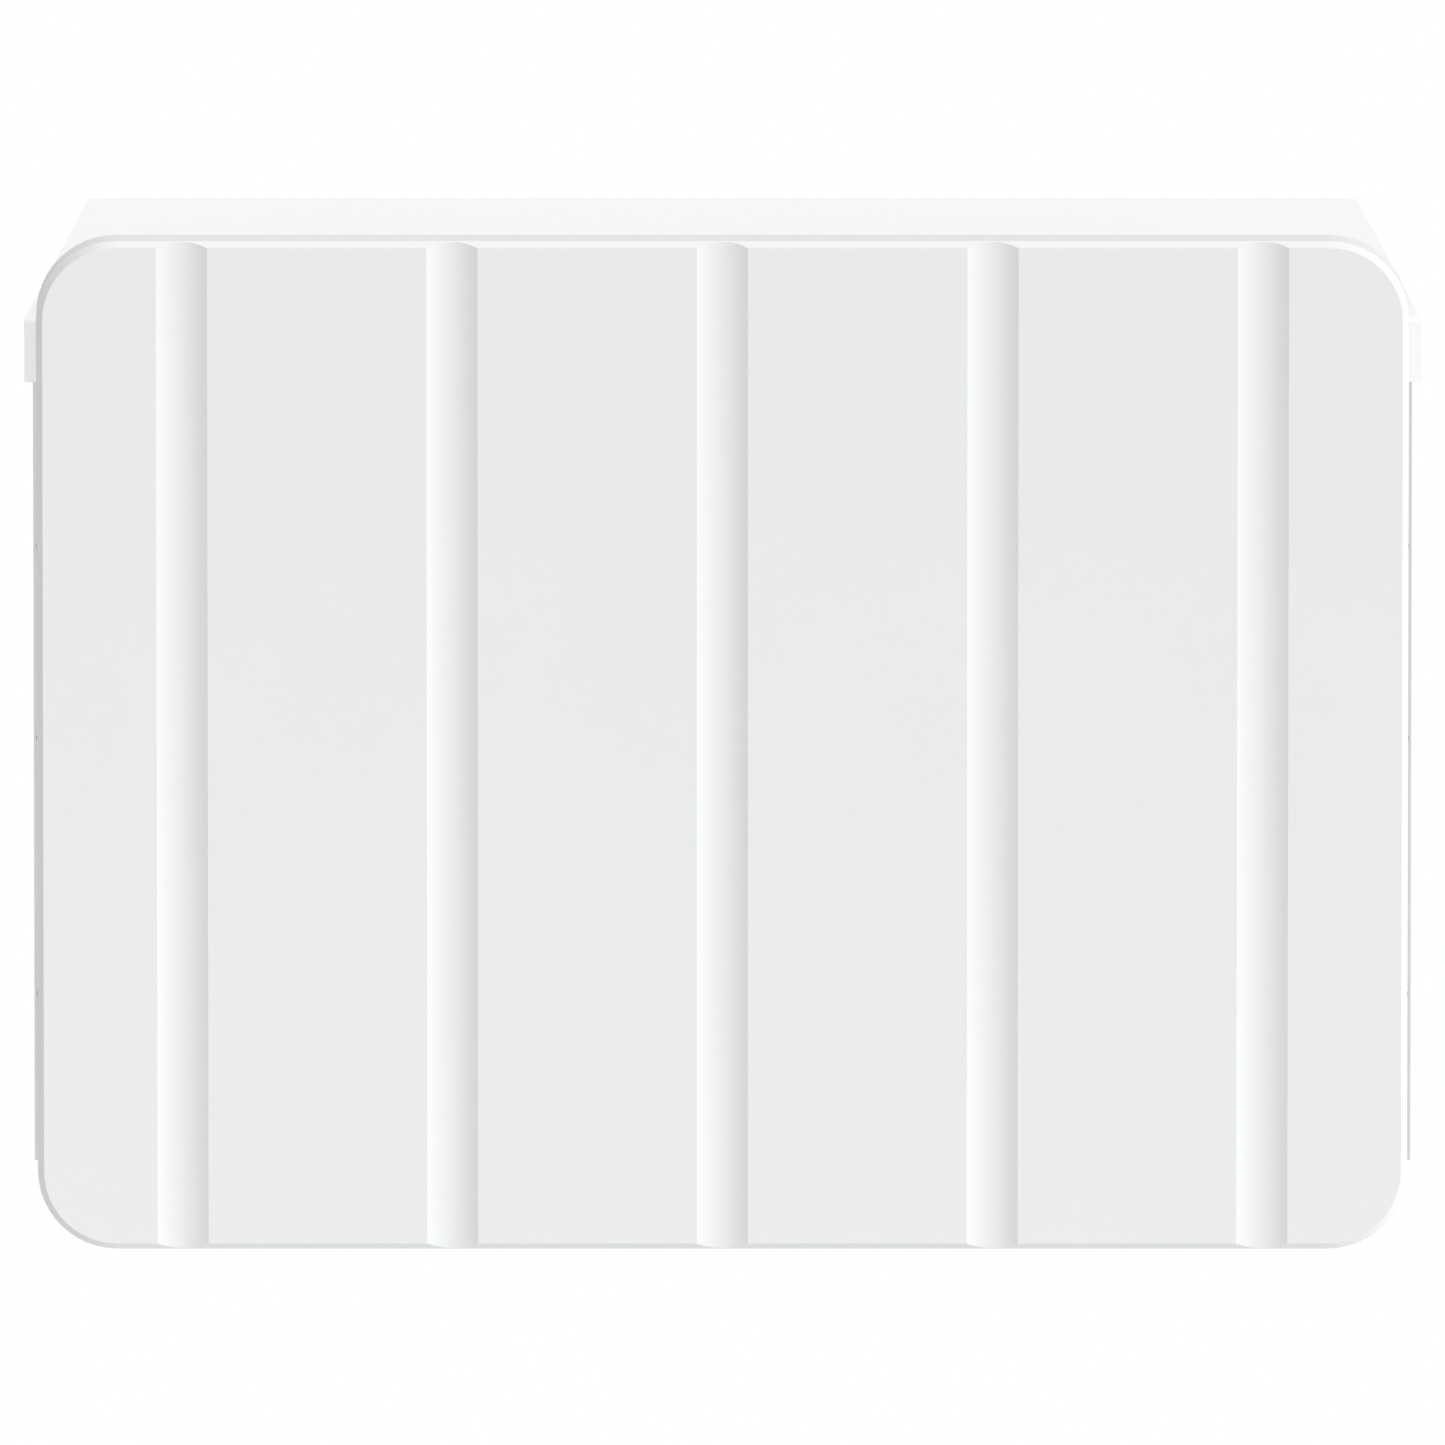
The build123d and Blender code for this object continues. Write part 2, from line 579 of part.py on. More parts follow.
# ---- power electronics above the modules ----------------------------------------------------
DECK = MODULE_FLOORS["upper"] + MODULE_BOTTOM + CELL_HEIGHT + 10
CARRIER = (TUB_BACK_IN - 14, TUB_BACK_IN - 12)
CARRIER_Z = (DECK + 30, DECK + 245)
CHANNEL_WIDTH = 15.0
CHANNEL_Z = (DECK + 40, DECK + 230)
INVERTER_Z = (DECK + 45, DECK + 45 + INVERTER_SIZE[2])
INVERTER_ROUND = 8.0
INVERTER_BACK = CARRIER[0]
INVERTER_FRONT = INVERTER_BACK - INVERTER_SIZE[1]
FIN_COUNT = 8
FIN_DEPTH = 9.0
FIN_THICK = 2.5
FIN_END = 12.0              # fins stop short of the housing's ends
INLET_RADIUS = 9.0
INLET_REACH = 8.0
INLET_SPREAD = 25.0
PLUG_RADIUS = 7.0
ROW_SHIFT = 8.0             # the row sits a little right of centre
TRUNK_Y = (INVERTER_FRONT + FIN_DEPTH + INVERTER_BACK) / 2
TRUNK_HALF = 5.0
AC_TRUNK_Z = INVERTER_Z[1] + 22
DC_TRUNK_Z = INVERTER_Z[0] - 22
DC_TRUNK_HALF = 7.0
CONTROL_X = (-470.0, -350.0)


def inverter_x(index):
    return (index - (INVERTER_COUNT - 1) / 2) * INVERTER_PITCH + ROW_SHIFT


def carrier_plate():
    """Sheet that carries the inverters, on four standoff channels from the tub's back."""
    half = INVERTER_SIZE[0] / 2
    left, right = inverter_x(0) - half, inverter_x(INVERTER_COUNT - 1) + half
    plate = block((left, right), CARRIER, CARRIER_Z)
    for x in (left, left / 3, right / 3, right - CHANNEL_WIDTH):
        plate = plate + block((x, x + CHANNEL_WIDTH), (CARRIER[1], TUB_BACK_IN), CHANNEL_Z)
    return plate


def microinverter(index):
    """Finned potted housing with a round socket at each end."""
    x = inverter_x(index)
    half = INVERTER_SIZE[0] / 2
    body = block((x - half, x + half), (INVERTER_FRONT + FIN_DEPTH, INVERTER_BACK), INVERTER_Z)
    body = fillet(body.edges().filter_by(Axis.Y), INVERTER_ROUND)
    pitch = 2 * (half - INVERTER_ROUND) / (FIN_COUNT - 1)
    for i in range(FIN_COUNT):
        left = x - half + INVERTER_ROUND + i * pitch - FIN_THICK / 2
        body = body + block((left, left + FIN_THICK), (INVERTER_FRONT, INVERTER_FRONT + FIN_DEPTH),
                            (INVERTER_Z[0] + FIN_END, INVERTER_Z[1] - FIN_END))
    low, high = INVERTER_Z
    for offset in (-INLET_SPREAD, INLET_SPREAD):
        body = body + rod(INLET_RADIUS, "z", (x + offset, TRUNK_Y),
                          (low - INLET_REACH, low))
    return body + rod(INLET_RADIUS, "z", (x, TRUNK_Y), (high, high + INLET_REACH))


TRUNK_ENDS = (inverter_x(0) - 40, inverter_x(INVERTER_COUNT - 1) + 40)


def plugs(offsets, ends):
    """Plugs between the inverters' sockets and the trunk that feeds them."""
    return [rod(PLUG_RADIUS, "z", (inverter_x(i) + offset, TRUNK_Y), ends)
            for i in range(INVERTER_COUNT) for offset in offsets]


def trunk(z, half_height):
    """A rigid moulded trunk along the row of inverters."""
    depth = (TRUNK_Y - TRUNK_HALF, TRUNK_Y + TRUNK_HALF)
    bar = block(TRUNK_ENDS, depth, (z - half_height, z + half_height))
    return fillet(bar.edges().filter_by(Axis.X), 2)


node("inverter_carrier", carrier_plate())
node("microinverters", *[microinverter(i) for i in range(INVERTER_COUNT)])
node("ac_trunk", trunk(AC_TRUNK_Z, TRUNK_HALF))
node("ac_plugs", *plugs((0,), (INVERTER_Z[1] + INLET_REACH, AC_TRUNK_Z - TRUNK_HALF)))
node("dc_trunk", trunk(DC_TRUNK_Z, DC_TRUNK_HALF))
node("dc_plugs", *plugs((-INLET_SPREAD, INLET_SPREAD),
                        (DC_TRUNK_Z + DC_TRUNK_HALF, INVERTER_Z[0] - INLET_REACH)))


# ---- battery controls beside the inverters ----------------------------------------------------
CONTROL_PLATE = (TUB_BACK_IN - 26, TUB_BACK_IN - 24)        # front and back of the tray's plate
CONTROL_HEIGHT = 260.0
BOARD_BACK = CONTROL_PLATE[0] - 8
BOARD_FRONT = BOARD_BACK - 1.6
BOARD_WIDTH = 104.0
BOARD_Z = (DECK + 110, DECK + 250)
CONTACTOR_FRONT = CONTROL_PLATE[0] - 50
CONTACTOR_STUD = CONTACTOR_FRONT - 8    # front of the contactor's two studs
CONTACTOR_STUD_Z = DECK + 60
FUSE_X = CONTROL_X[0] + 88
FUSE_BASE_FRONT = CONTROL_PLATE[0] - 14
FUSE_CLIP_FRONT = FUSE_BASE_FRONT - 14


def control_tray():
    """Folded tray that carries the battery controller, fuse and contactor."""
    left, right = CONTROL_X
    tall = (DECK, DECK + CONTROL_HEIGHT)
    plate = block(CONTROL_X, CONTROL_PLATE, tall)
    for x in (left, right - SHEET):
        plate = plate + block((x, x + SHEET), (CONTROL_PLATE[1], TUB_BACK_IN), tall)
    return plate


def controller_board():
    """Board on standoffs with its larger components."""
    left = CONTROL_X[0] + 8
    right = left + BOARD_WIDTH
    low, high = BOARD_Z
    board = block((left, right), (BOARD_FRONT, BOARD_BACK), BOARD_Z)
    for x in (left + 5, right - 5):
        for z in (low + 5, high - 5):
            board = board + rod(3, "y", (x, z), (BOARD_BACK, CONTROL_PLATE[0]))
    for i in range(4):
        z = low + 18 + 28 * i
        chip = block((left + 14, left + 34), (BOARD_FRONT - 4.4, BOARD_FRONT), (z, z + 16))
        capacitor = rod(6, "y", (left + 56, z + 8), (BOARD_FRONT - 14.4, BOARD_FRONT))
        relay = block((left + 76, left + 92), (BOARD_FRONT - 8.4, BOARD_FRONT), (z, z + 14))
        board = board + chip + capacitor + relay
    return board


def contactor():
    left = CONTROL_X[0] + 10
    body = block((left, left + 50), (CONTACTOR_FRONT, CONTROL_PLATE[0]), (DECK + 10, DECK + 78))
    body = fillet(body.edges().filter_by(Axis.Y), 5)
    for x in (left + 13, left + 37):
        body = body + rod(5, "y", (x, CONTACTOR_STUD_Z), (CONTACTOR_STUD, CONTACTOR_FRONT))
    return body


def fuse_holder():
    base = block((FUSE_X - 20, FUSE_X + 20), (FUSE_BASE_FRONT, CONTROL_PLATE[0]),
                 (DECK + 8, DECK + 98))
    clips = [block((FUSE_X - 12, FUSE_X + 12), (FUSE_CLIP_FRONT, FUSE_BASE_FRONT), (z, z + 4))
             for z in (DECK + 18, DECK + 84)]
    return base + clips


def fuse():
    """Bolted-blade fuse lying in front of its clips."""
    middle = FUSE_CLIP_FRONT - 4
    barrel = rod(11, "z", (FUSE_X, middle), (DECK + 30, DECK + 76))
    blades = block((FUSE_X - 8, FUSE_X + 8), (middle - 2, middle + 2), (DECK + 22, DECK + 84))
    return barrel + blades


ARM_HALF = 6.0
RISER_FOOT = tab_height(MODULE_FLOORS["lower"]) - LINK_HALF
CABLE_RADIUS = {"fuse": 4.0, "feed": 6.0, "output": 5.0}


def positive_riser():
    """The positive riser ends in an arm back to the contactor's first stud."""
    x = RISER_X["positive"]
    arm = (CONTACTOR_STUD_Z - ARM_HALF, CONTACTOR_STUD_Z + ARM_HALF)
    bar = riser(x, (RISER_FOOT, arm[1]))
    return bar + block((x - RISER_HALF, x + RISER_HALF), (RISER_Y, CONTACTOR_STUD), arm)


def negative_riser():
    """The negative riser ends in an arm back to the DC trunk."""
    x = RISER_X["negative"]
    arm = (DC_TRUNK_Z - ARM_HALF, DC_TRUNK_Z + ARM_HALF)
    bar = riser(x, (RISER_FOOT, arm[1]))
    return bar + block((x - RISER_HALF, x + RISER_HALF), (RISER_Y, TRUNK_Y - TRUNK_HALF), arm)


def fuse_cable():
    """From the side of the fuse holder to the left end of the DC trunk."""
    start = (FUSE_X + 20, TRUNK_Y - TRUNK_HALF, DECK + 60)
    end = (TRUNK_ENDS[0], TRUNK_Y, DC_TRUNK_Z)
    straight = 22.0
    points = [start, (start[0] + straight, start[1], start[2]),
              (end[0] - straight, end[1], end[2]), end]
    return tube(CABLE_RADIUS["fuse"], points, straight / 2)


def feed_cable():
    """From the right end of the AC trunk, through the bay wall, to the breaker's top."""
    start = (TRUNK_ENDS[1], TRUNK_Y, AC_TRUNK_Z)
    end = (BREAKER_X, BREAKER_LUG_Y, BREAKER_Z + BREAKER_HALF_HEIGHT)
    points = [start, (start[0] + 18, TRUNK_Y, AC_TRUNK_Z), (end[0], end[1], AC_TRUNK_Z - 22), end]
    return tube(CABLE_RADIUS["feed"], points, (20, 30))


node("control_tray", control_tray())
node("controller_board", controller_board())
node("main_contactor", contactor())
node("fuse_holder", fuse_holder())
node("main_fuse", fuse())
node("riser_positive", positive_riser())
node("riser_negative", negative_riser())
node("fuse_cable", fuse_cable())
node("feed_cable", feed_cable())


# ---- wiring bay -----------------------------------------------------------------------------
BAY = (370.0, 470.0)        # left and right ends of the pieces in the bay
RAIL_Y = -70.0              # back of the rail
RAIL_DEPTH = 7.5            # 35 mm top-hat rail
RAIL_HALF_HEIGHT = 17.5
BREAKER_HALF = 18.0
BREAKER_SHOULDER_Y = -132.0
BREAKER_SLOT_HALF = 7.0
BREAKER_PIVOT_Y = PANEL_Y + 6.0
LEVER_ANGLE = 25.0          # the lever leans up when on, and as far down when off
LEVER_HALF = 6.0
PIN_RADIUS = 2.0
TERMINAL_TOP = -146.0
TERMINAL_FRONT = -62.0
TERMINAL_BACK = -30.0
GROUND_Z = (-262.0, -248.0)
GROUND_Y = (-46.0, -36.0)
COMMS_Z = (210.0, 290.0)
COMMS_BACK = -40.0
POST = 4.0


def bay_wall():
    thickness = (BAY_WALL_X, BAY_WALL_X + 1.5)
    wall = block(thickness, (FLANGE_Y + SHEET + 1, TUB_BACK_IN),
                 (TUB_FLOOR, PANEL_TOP - TUB_FLANGE - 4))
    return wall - block(thickness, (TRUNK_Y - 35, TRUNK_Y + 12), (AC_TRUNK_Z - 14, AC_TRUNK_Z + 60))


def din_rail():
    ends = (BAY[0] - 5, BAY[1] + 8)
    front = RAIL_Y - RAIL_DEPTH
    half = RAIL_HALF_HEIGHT
    rail = block(ends, (front, RAIL_Y), (BREAKER_Z - half, BREAKER_Z + half))
    half = RAIL_HALF_HEIGHT - 5
    return rail - block(ends, (front, RAIL_Y - 1), (BREAKER_Z - half, BREAKER_Z + half))


def bay_standoffs():
    """Posts from the tub's back to the rail, the terminal block and the ground bar."""
    left, right = BAY
    posts = [block((x, x + 12), (RAIL_Y, TUB_BACK_IN), (BREAKER_Z - 12, BREAKER_Z + 12))
             for x in (left, right - 12)]
    ground_middle = sum(GROUND_Z) / 2
    for x in (left + 2, right - 2):
        posts.append(rod(POST, "y", (x, TERMINAL_TOP - 22), (TERMINAL_BACK, TUB_BACK_IN)))
        posts.append(rod(POST, "y", (x, ground_middle), (GROUND_Y[1], TUB_BACK_IN)))
    return posts


def breaker_body():
    """Two-pole breaker with a stepped nose and a slot for its lever."""
    wide = (BREAKER_X - BREAKER_HALF, BREAKER_X + BREAKER_HALF)
    body = block(wide, (BREAKER_SHOULDER_Y, RAIL_Y - RAIL_DEPTH),
                 (BREAKER_Z - BREAKER_HALF_HEIGHT, BREAKER_Z + BREAKER_HALF_HEIGHT))
    width, height = BREAKER_NOSE
    nose = block((BREAKER_X - width / 2, BREAKER_X + width / 2),
                 (PANEL_Y - 1, BREAKER_SHOULDER_Y),
                 (BREAKER_Z - height / 2, BREAKER_Z + height / 2))
    across = (BREAKER_X - BREAKER_SLOT_HALF, BREAKER_X + BREAKER_SLOT_HALF)
    slot = block(across, (PANEL_Y - 2, BREAKER_SHOULDER_Y - 2), (BREAKER_Z - 17, BREAKER_Z + 17))
    pin = rod(PIN_RADIUS - 0.05, "x", (BREAKER_PIVOT_Y, BREAKER_Z), across)
    return body + nose - slot + pin


def breaker_lever():
    """Lever on its cross pin, leaning up in the on position."""
    across = (BREAKER_X - LEVER_HALF, BREAKER_X + LEVER_HALF)
    hub = rod(5, "x", (BREAKER_PIVOT_Y, BREAKER_Z), across)
    arm = block(across, (BREAKER_PIVOT_Y - 20, BREAKER_PIVOT_Y), (BREAKER_Z - 3, BREAKER_Z + 3))
    arm = fillet(arm.edges().filter_by(Axis.X).sort_by(Axis.Y)[:2], 2)
    lean = Pos(0, BREAKER_PIVOT_Y, BREAKER_Z) * Rot(-LEVER_ANGLE, 0, 0) * Pos(
        0, -BREAKER_PIVOT_Y, -BREAKER_Z)
    return lean * (hub + arm) - rod(PIN_RADIUS, "x", (BREAKER_PIVOT_Y, BREAKER_Z), across)


def terminal_block():
    """Seven-way block with a wire mouth and a screw well for each way."""
    low = TERMINAL_TOP - 44
    front = TERMINAL_FRONT
    body = block((BAY[0] - 5, BAY[1] + 7), (front, TERMINAL_BACK), (low, TERMINAL_TOP))
    for i in range(7):
        x = BAY[0] + 3 + 16 * i
        body = body - block((x - 5, x + 5), (front, front + 12), (low + 4, low + 16))
        body = body - rod(3.5, "y", (x, low + 30), (front, front + 14))
    return body


def ground_bar():
    bar = block(BAY, GROUND_Y, GROUND_Z)
    for i in range(6):
        bar = bar - rod(3, "z", (BAY[0] + 10 + 16 * i, sum(GROUND_Y) / 2), GROUND_Z)
    return bar


def comms_board():
    left, right = BAY
    low, high = COMMS_Z
    front = COMMS_BACK - 1.6
    board = block(BAY, (front, COMMS_BACK), COMMS_Z)
    chip = block((left + 25, left + 50), (front - 3.4, front), (low + 25, low + 50))
    radio = block((right - 35, right - 10), (front - 4.4, front), (high - 40, high - 10))
    posts = [rod(3, "y", (x, z), (COMMS_BACK, TUB_BACK_IN))
             for x in (left + 6, right - 6) for z in (low + 6, high - 6)]
    return board + chip + radio + posts


def on_flank(solid):
    """Cut a solid off at the tub's flank, so that it sits on the flank's outside."""
    return solid - flanked(FLANGE_Y, TUB_BACK, (TUB_BOTTOM, -TUB_BOTTOM), TUB_INSET)


LENS_RADIUS = 5.0
SHAFT_RADIUS = 3.0
RUNNING = 0.08              # running clearance round the shaft and the button
BUTTON_RADIUS = 7.0
BUTTON_TRAVEL = 2.5
BUTTON_NECK = (495.0, 503.0)
SWITCH = (475.0, 485.0)
SWITCH_HALF = 7.0
ISOLATOR_BACK = 430.0
ISOLATOR_FRONT = 480.0
ISOLATOR_NECK = 6.0
KNOB_RADIUS = 16.0
KNOB_GAP = 0.5
SHAFT_END = CONTROL_FACE_X + 8


def bezel(radius, bore, z):
    ring = on_flank(rod(radius, "x", (CONTROL_Y, z), (FLANK_CUT[0], CONTROL_FACE_X)))
    ring = chamfer(ring.faces().sort_by(Axis.X)[-1].edges(), 1)
    return ring - rod(bore, "x", (CONTROL_Y, z), FLANK_CUT)


def status_light():
    """Light pipe through the flank with a domed lens on the outside."""
    at = (CONTROL_Y, LIGHT_Z)
    lens = rod(LENS_RADIUS, "x", at, (FLANK_CUT[0], CONTROL_FACE_X - 3))
    lens = on_flank(fillet(lens.faces().sort_by(Axis.X)[-1].edges(), 2))
    return lens + rod(LENS_RADIUS - 2.1, "x", at, (485, CONTROL_FACE_X - 7))


def output_cable():
    """From the breaker down past the isolator to the terminal block."""
    start = (BREAKER_X - 12, BREAKER_LUG_Y, BREAKER_Z - BREAKER_HALF_HEIGHT)
    end = (BAY[0] + 19, (TERMINAL_FRONT + TERMINAL_BACK) / 2, TERMINAL_TOP)
    beside_isolator = (end[0] + 8, -85, -10)
    points = [start, (start[0], start[1], 50), beside_isolator,
              (end[0], end[1], TERMINAL_TOP + 45), end]
    return tube(CABLE_RADIUS["output"], points, (28, 40, 60))


def isolator_knob():
    """Round knob with a raised grip, upright when on."""
    face = (CONTROL_FACE_X + KNOB_GAP, CONTROL_FACE_X + 6)
    disc = rod(KNOB_RADIUS, "x", (CONTROL_Y, ISOLATOR_Z), face)
    disc = chamfer(disc.faces().sort_by(Axis.X)[-1].edges(), 1.5)
    grip = block((face[1] - 1, CONTROL_FACE_X + 15.5), (CONTROL_Y - 3.5, CONTROL_Y + 3.5),
                 (ISOLATOR_Z - 14, ISOLATOR_Z + 14))
    grip = fillet(grip.edges().filter_by(Axis.X), 2.5)
    hole = rod(SHAFT_RADIUS, "x", (CONTROL_Y, ISOLATOR_Z), (CONTROL_FACE_X, SHAFT_END))
    return disc + grip - hole


def isolator_body():
    at = (CONTROL_Y, ISOLATOR_Z)
    neck_end = ISOLATOR_FRONT + ISOLATOR_NECK
    body = block((ISOLATOR_BACK, ISOLATOR_FRONT), (CONTROL_Y - 25, CONTROL_Y + 25),
                 (ISOLATOR_Z - 30, ISOLATOR_Z + 30))
    body = fillet(body.edges().filter_by(Axis.X), 3)
    body = body + rod(10, "x", at, (ISOLATOR_FRONT, neck_end))
    return body - rod(SHAFT_RADIUS + RUNNING, "x", at, (ISOLATOR_BACK + 20, neck_end))


def button_cap():
    at = (CONTROL_Y, BUTTON_Z)
    cap = rod(BUTTON_RADIUS, "x", at, (BUTTON_NECK[1], CONTROL_FACE_X + 3.5))
    return fillet(cap.faces().sort_by(Axis.X)[-1].edges(), 1) + rod(3, "x", at, BUTTON_NECK)


def button_switch():
    at = (CONTROL_Y, BUTTON_Z)
    plunger = rod(2.5, "x", at, (SWITCH[1], BUTTON_NECK[0] - BUTTON_TRAVEL - 0.5))
    deep = (CONTROL_Y - SWITCH_HALF, CONTROL_Y + SWITCH_HALF)
    body = block(SWITCH, deep, (BUTTON_Z - 8, BUTTON_Z + 8))
    arm = block((SWITCH[0] - 55, SWITCH[0]), deep, (BUTTON_Z - 8, BUTTON_Z - 5))
    return body + plunger + arm


def conduit_hub(x, y):
    """Threaded hub through the floor with an open bore."""
    ends = (TUB_BOTTOM - HUB_LENGTH, TUB_FLOOR + 12)
    hub = rod(HUB_NECK, "z", (x, y), (ends[0], TUB_BOTTOM))
    hub = hub + hexagon(40, "z", (x, y), (TUB_BOTTOM - 8, TUB_BOTTOM))
    hub = hub + rod(HUB_THREAD, "z", (x, y), (TUB_BOTTOM, ends[1]))
    return hub - rod(HUB_BORE, "z", (x, y), ends)


def locknut(x, y):
    nut = hexagon(38, "z", (x, y), (TUB_FLOOR, TUB_FLOOR + 6))
    return nut - rod(HUB_THREAD, "z", (x, y), (TUB_FLOOR, TUB_FLOOR + 6))


def blanking_plug(x, y):
    cap = rod(19, "z", (x, y), (TUB_BOTTOM - 4, TUB_BOTTOM))
    cap = fillet(cap.faces().sort_by(Axis.Z)[0].edges(), 2)
    return cap + rod(HUB_THREAD, "z", (x, y), (TUB_BOTTOM, TUB_FLOOR + 4))


def pressure_vent():
    cap = rod(14, "z", VENT_PLACE, (TUB_BOTTOM - 7, TUB_BOTTOM))
    cap = chamfer(cap.faces().sort_by(Axis.Z)[0].edges(), 2)
    return cap + rod(VENT_THREAD, "z", VENT_PLACE, (TUB_BOTTOM, TUB_FLOOR + 6))


node("wiring_bay_wall", bay_wall())
node("din_rail", din_rail())
node("bay_standoffs", *bay_standoffs())
node("breaker_body", breaker_body())
node("breaker_lever", breaker_lever())
node("terminal_block", terminal_block())
node("ground_bar", ground_bar())
node("comms_board", comms_board())
node("isolator_body", isolator_body())
node("isolator_bezel", bezel(21, SHAFT_RADIUS + RUNNING, ISOLATOR_Z))
node("isolator_shaft", rod(SHAFT_RADIUS, "x", (CONTROL_Y, ISOLATOR_Z),
                           (ISOLATOR_BACK + 22, SHAFT_END)))
node("isolator_knob", isolator_knob())
node("button_bezel", bezel(13, BUTTON_RADIUS + RUNNING, BUTTON_Z))
node("power_button", button_cap())
node("button_switch", button_switch())
node("status_light", status_light())
node("output_cable", output_cable())
node("conduit_hubs", *[conduit_hub(x, y) for x, y in HUB_PLACES])
node("hub_locknuts", *[locknut(x, y) for x, y in HUB_PLACES])
node("blanking_plugs", *[blanking_plug(x, y) for x, y in PLUG_PLACES])
node("pressure_vent", pressure_vent())

os.makedirs("parts", exist_ok=True)
for name, solids in parts.items():
    shape = solids[0] if len(solids) == 1 else Compound(children=solids)
    export_step(shape, f"parts/{name}.step")
print(len(parts), "pieces written")
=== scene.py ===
import json
import math

import bmesh
import bpy
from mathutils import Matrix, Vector

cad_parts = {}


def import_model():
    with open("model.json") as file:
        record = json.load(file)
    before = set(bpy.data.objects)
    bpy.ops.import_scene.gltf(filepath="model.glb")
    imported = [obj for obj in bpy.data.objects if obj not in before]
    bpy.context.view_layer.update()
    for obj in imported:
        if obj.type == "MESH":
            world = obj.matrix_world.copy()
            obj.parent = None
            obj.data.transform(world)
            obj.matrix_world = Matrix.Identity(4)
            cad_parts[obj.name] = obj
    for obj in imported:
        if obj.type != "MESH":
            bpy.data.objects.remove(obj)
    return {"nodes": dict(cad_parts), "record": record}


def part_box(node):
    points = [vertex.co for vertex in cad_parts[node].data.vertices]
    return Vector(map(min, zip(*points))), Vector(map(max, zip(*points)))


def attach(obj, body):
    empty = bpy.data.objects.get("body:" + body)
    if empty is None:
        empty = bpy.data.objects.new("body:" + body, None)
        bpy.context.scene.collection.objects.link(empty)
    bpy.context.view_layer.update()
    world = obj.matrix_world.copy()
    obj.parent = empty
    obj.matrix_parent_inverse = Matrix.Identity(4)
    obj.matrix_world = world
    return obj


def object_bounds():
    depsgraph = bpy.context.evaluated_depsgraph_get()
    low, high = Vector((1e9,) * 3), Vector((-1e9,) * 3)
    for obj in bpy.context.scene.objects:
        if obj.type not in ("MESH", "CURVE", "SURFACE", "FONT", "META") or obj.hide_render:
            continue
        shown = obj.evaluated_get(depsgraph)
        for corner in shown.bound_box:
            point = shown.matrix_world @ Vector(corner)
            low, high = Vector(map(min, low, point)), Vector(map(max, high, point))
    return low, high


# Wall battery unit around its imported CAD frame. Metres; +X right, +Z up, the wall is y = 0 and
# the unit's front faces -Y.
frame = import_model()
CAD_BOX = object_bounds()
LOW, HIGH = (Vector(corner) for corner in CAD_BOX)
WIDTH = HIGH.x - LOW.x
MM = 0.001
RIGHT, BACK, UP = Vector((1, 0, 0)), Vector((0, 1, 0)), Vector((0, 0, 1))


# ---- material parts -------------------------------------------------------------------------
def material(name, color, roughness, metallic=0.0):
    """A new principled material with its plain values set."""
    made = bpy.data.materials.new(name)
    made.use_nodes = True
    shader = shader_of(made)
    shader.inputs["Base Color"].default_value = (*color, 1.0)
    shader.inputs["Roughness"].default_value = roughness
    shader.inputs["Metallic"].default_value = metallic
    return made


def shader_of(made):
    """A material's principled shader."""
    return made.node_tree.nodes["Principled BSDF"]


def add(made, kind, **values):
    """A node in a material's tree with its sockets or settings set by name."""
    new = made.node_tree.nodes.new(kind)
    for key, value in values.items():
        if key in new.inputs:
            new.inputs[key].default_value = value
        else:
            setattr(new, key, value)
    return new


def link(made, source, output, target, socket):
    """Join one node's output to another's socket."""
    made.node_tree.links.new(source.outputs[output], target.inputs[socket])


def object_coordinates(made, scale=(1.0, 1.0, 1.0)):
    """Coordinates in metres on the piece, stretched for grain."""
    where = add(made, "ShaderNodeTexCoord")
    mapping = add(made, "ShaderNodeMapping", Scale=scale)
    link(made, where, "Object", mapping, "Vector")
    return mapping


def noise(made, where, scale, detail=3.0, rough=0.5):
    """Cloudy noise over some coordinates."""
    texture = add(made, "ShaderNodeTexNoise", Scale=scale, Detail=detail, Roughness=rough)
    link(made, where, "Vector", texture, "Vector")
    return texture


def tinted(color, factor):
    """A colour made darker or lighter, no brighter than white."""
    return tuple(min(1.0, channel * factor) for channel in color)


def tone(made, source, output, stops):
    """Colour the surface by a texture; stops are (position, colour) pairs."""
    ramp = add(made, "ShaderNodeValToRGB")
    for element, (position, color) in zip(ramp.color_ramp.elements, stops):
        element.position = position
        element.color = (*color, 1.0)
    link(made, source, output, ramp, "Fac")
    link(made, ramp, "Color", shader_of(made), "Base Color")


def gloss(made, source, output, low, high):
    """Let a texture move the roughness between two values."""
    spread = add(made, "ShaderNodeMapRange")
    spread.inputs["To Min"].default_value = low
    spread.inputs["To Max"].default_value = high
    link(made, source, output, spread, "Value")
    link(made, spread, "Result", shader_of(made), "Roughness")


def relief(made, source, output, strength, depth):
    """Let a texture raise the surface a little."""
    bump = add(made, "ShaderNodeBump", Strength=strength, Distance=depth)
    link(made, source, output, bump, "Height")
    link(made, bump, "Normal", shader_of(made), "Normal")


# ---- materials --------------------------------------------------------------------------------
def coated(name, color, roughness, texture_scale, texture_depth, drift=0.985, grain=0.5):
    """A coated or moulded surface: slow colour drift, fine orange peel and uneven gloss."""
    made = material(name, color, roughness)
    where = object_coordinates(made)
    slow = noise(made, where, scale=5.0, detail=2.0)
    cool = (color[0] * drift, color[1], min(1.0, color[2] * (2 - drift)))
    tone(made, slow, "Fac", ((0.35, cool), (0.65, color)))
    fine = noise(made, where, texture_scale, detail=2.0)
    gloss(made, fine, "Fac", roughness - 0.05, roughness + 0.05)
    relief(made, fine, "Fac", grain, texture_depth)
    return made


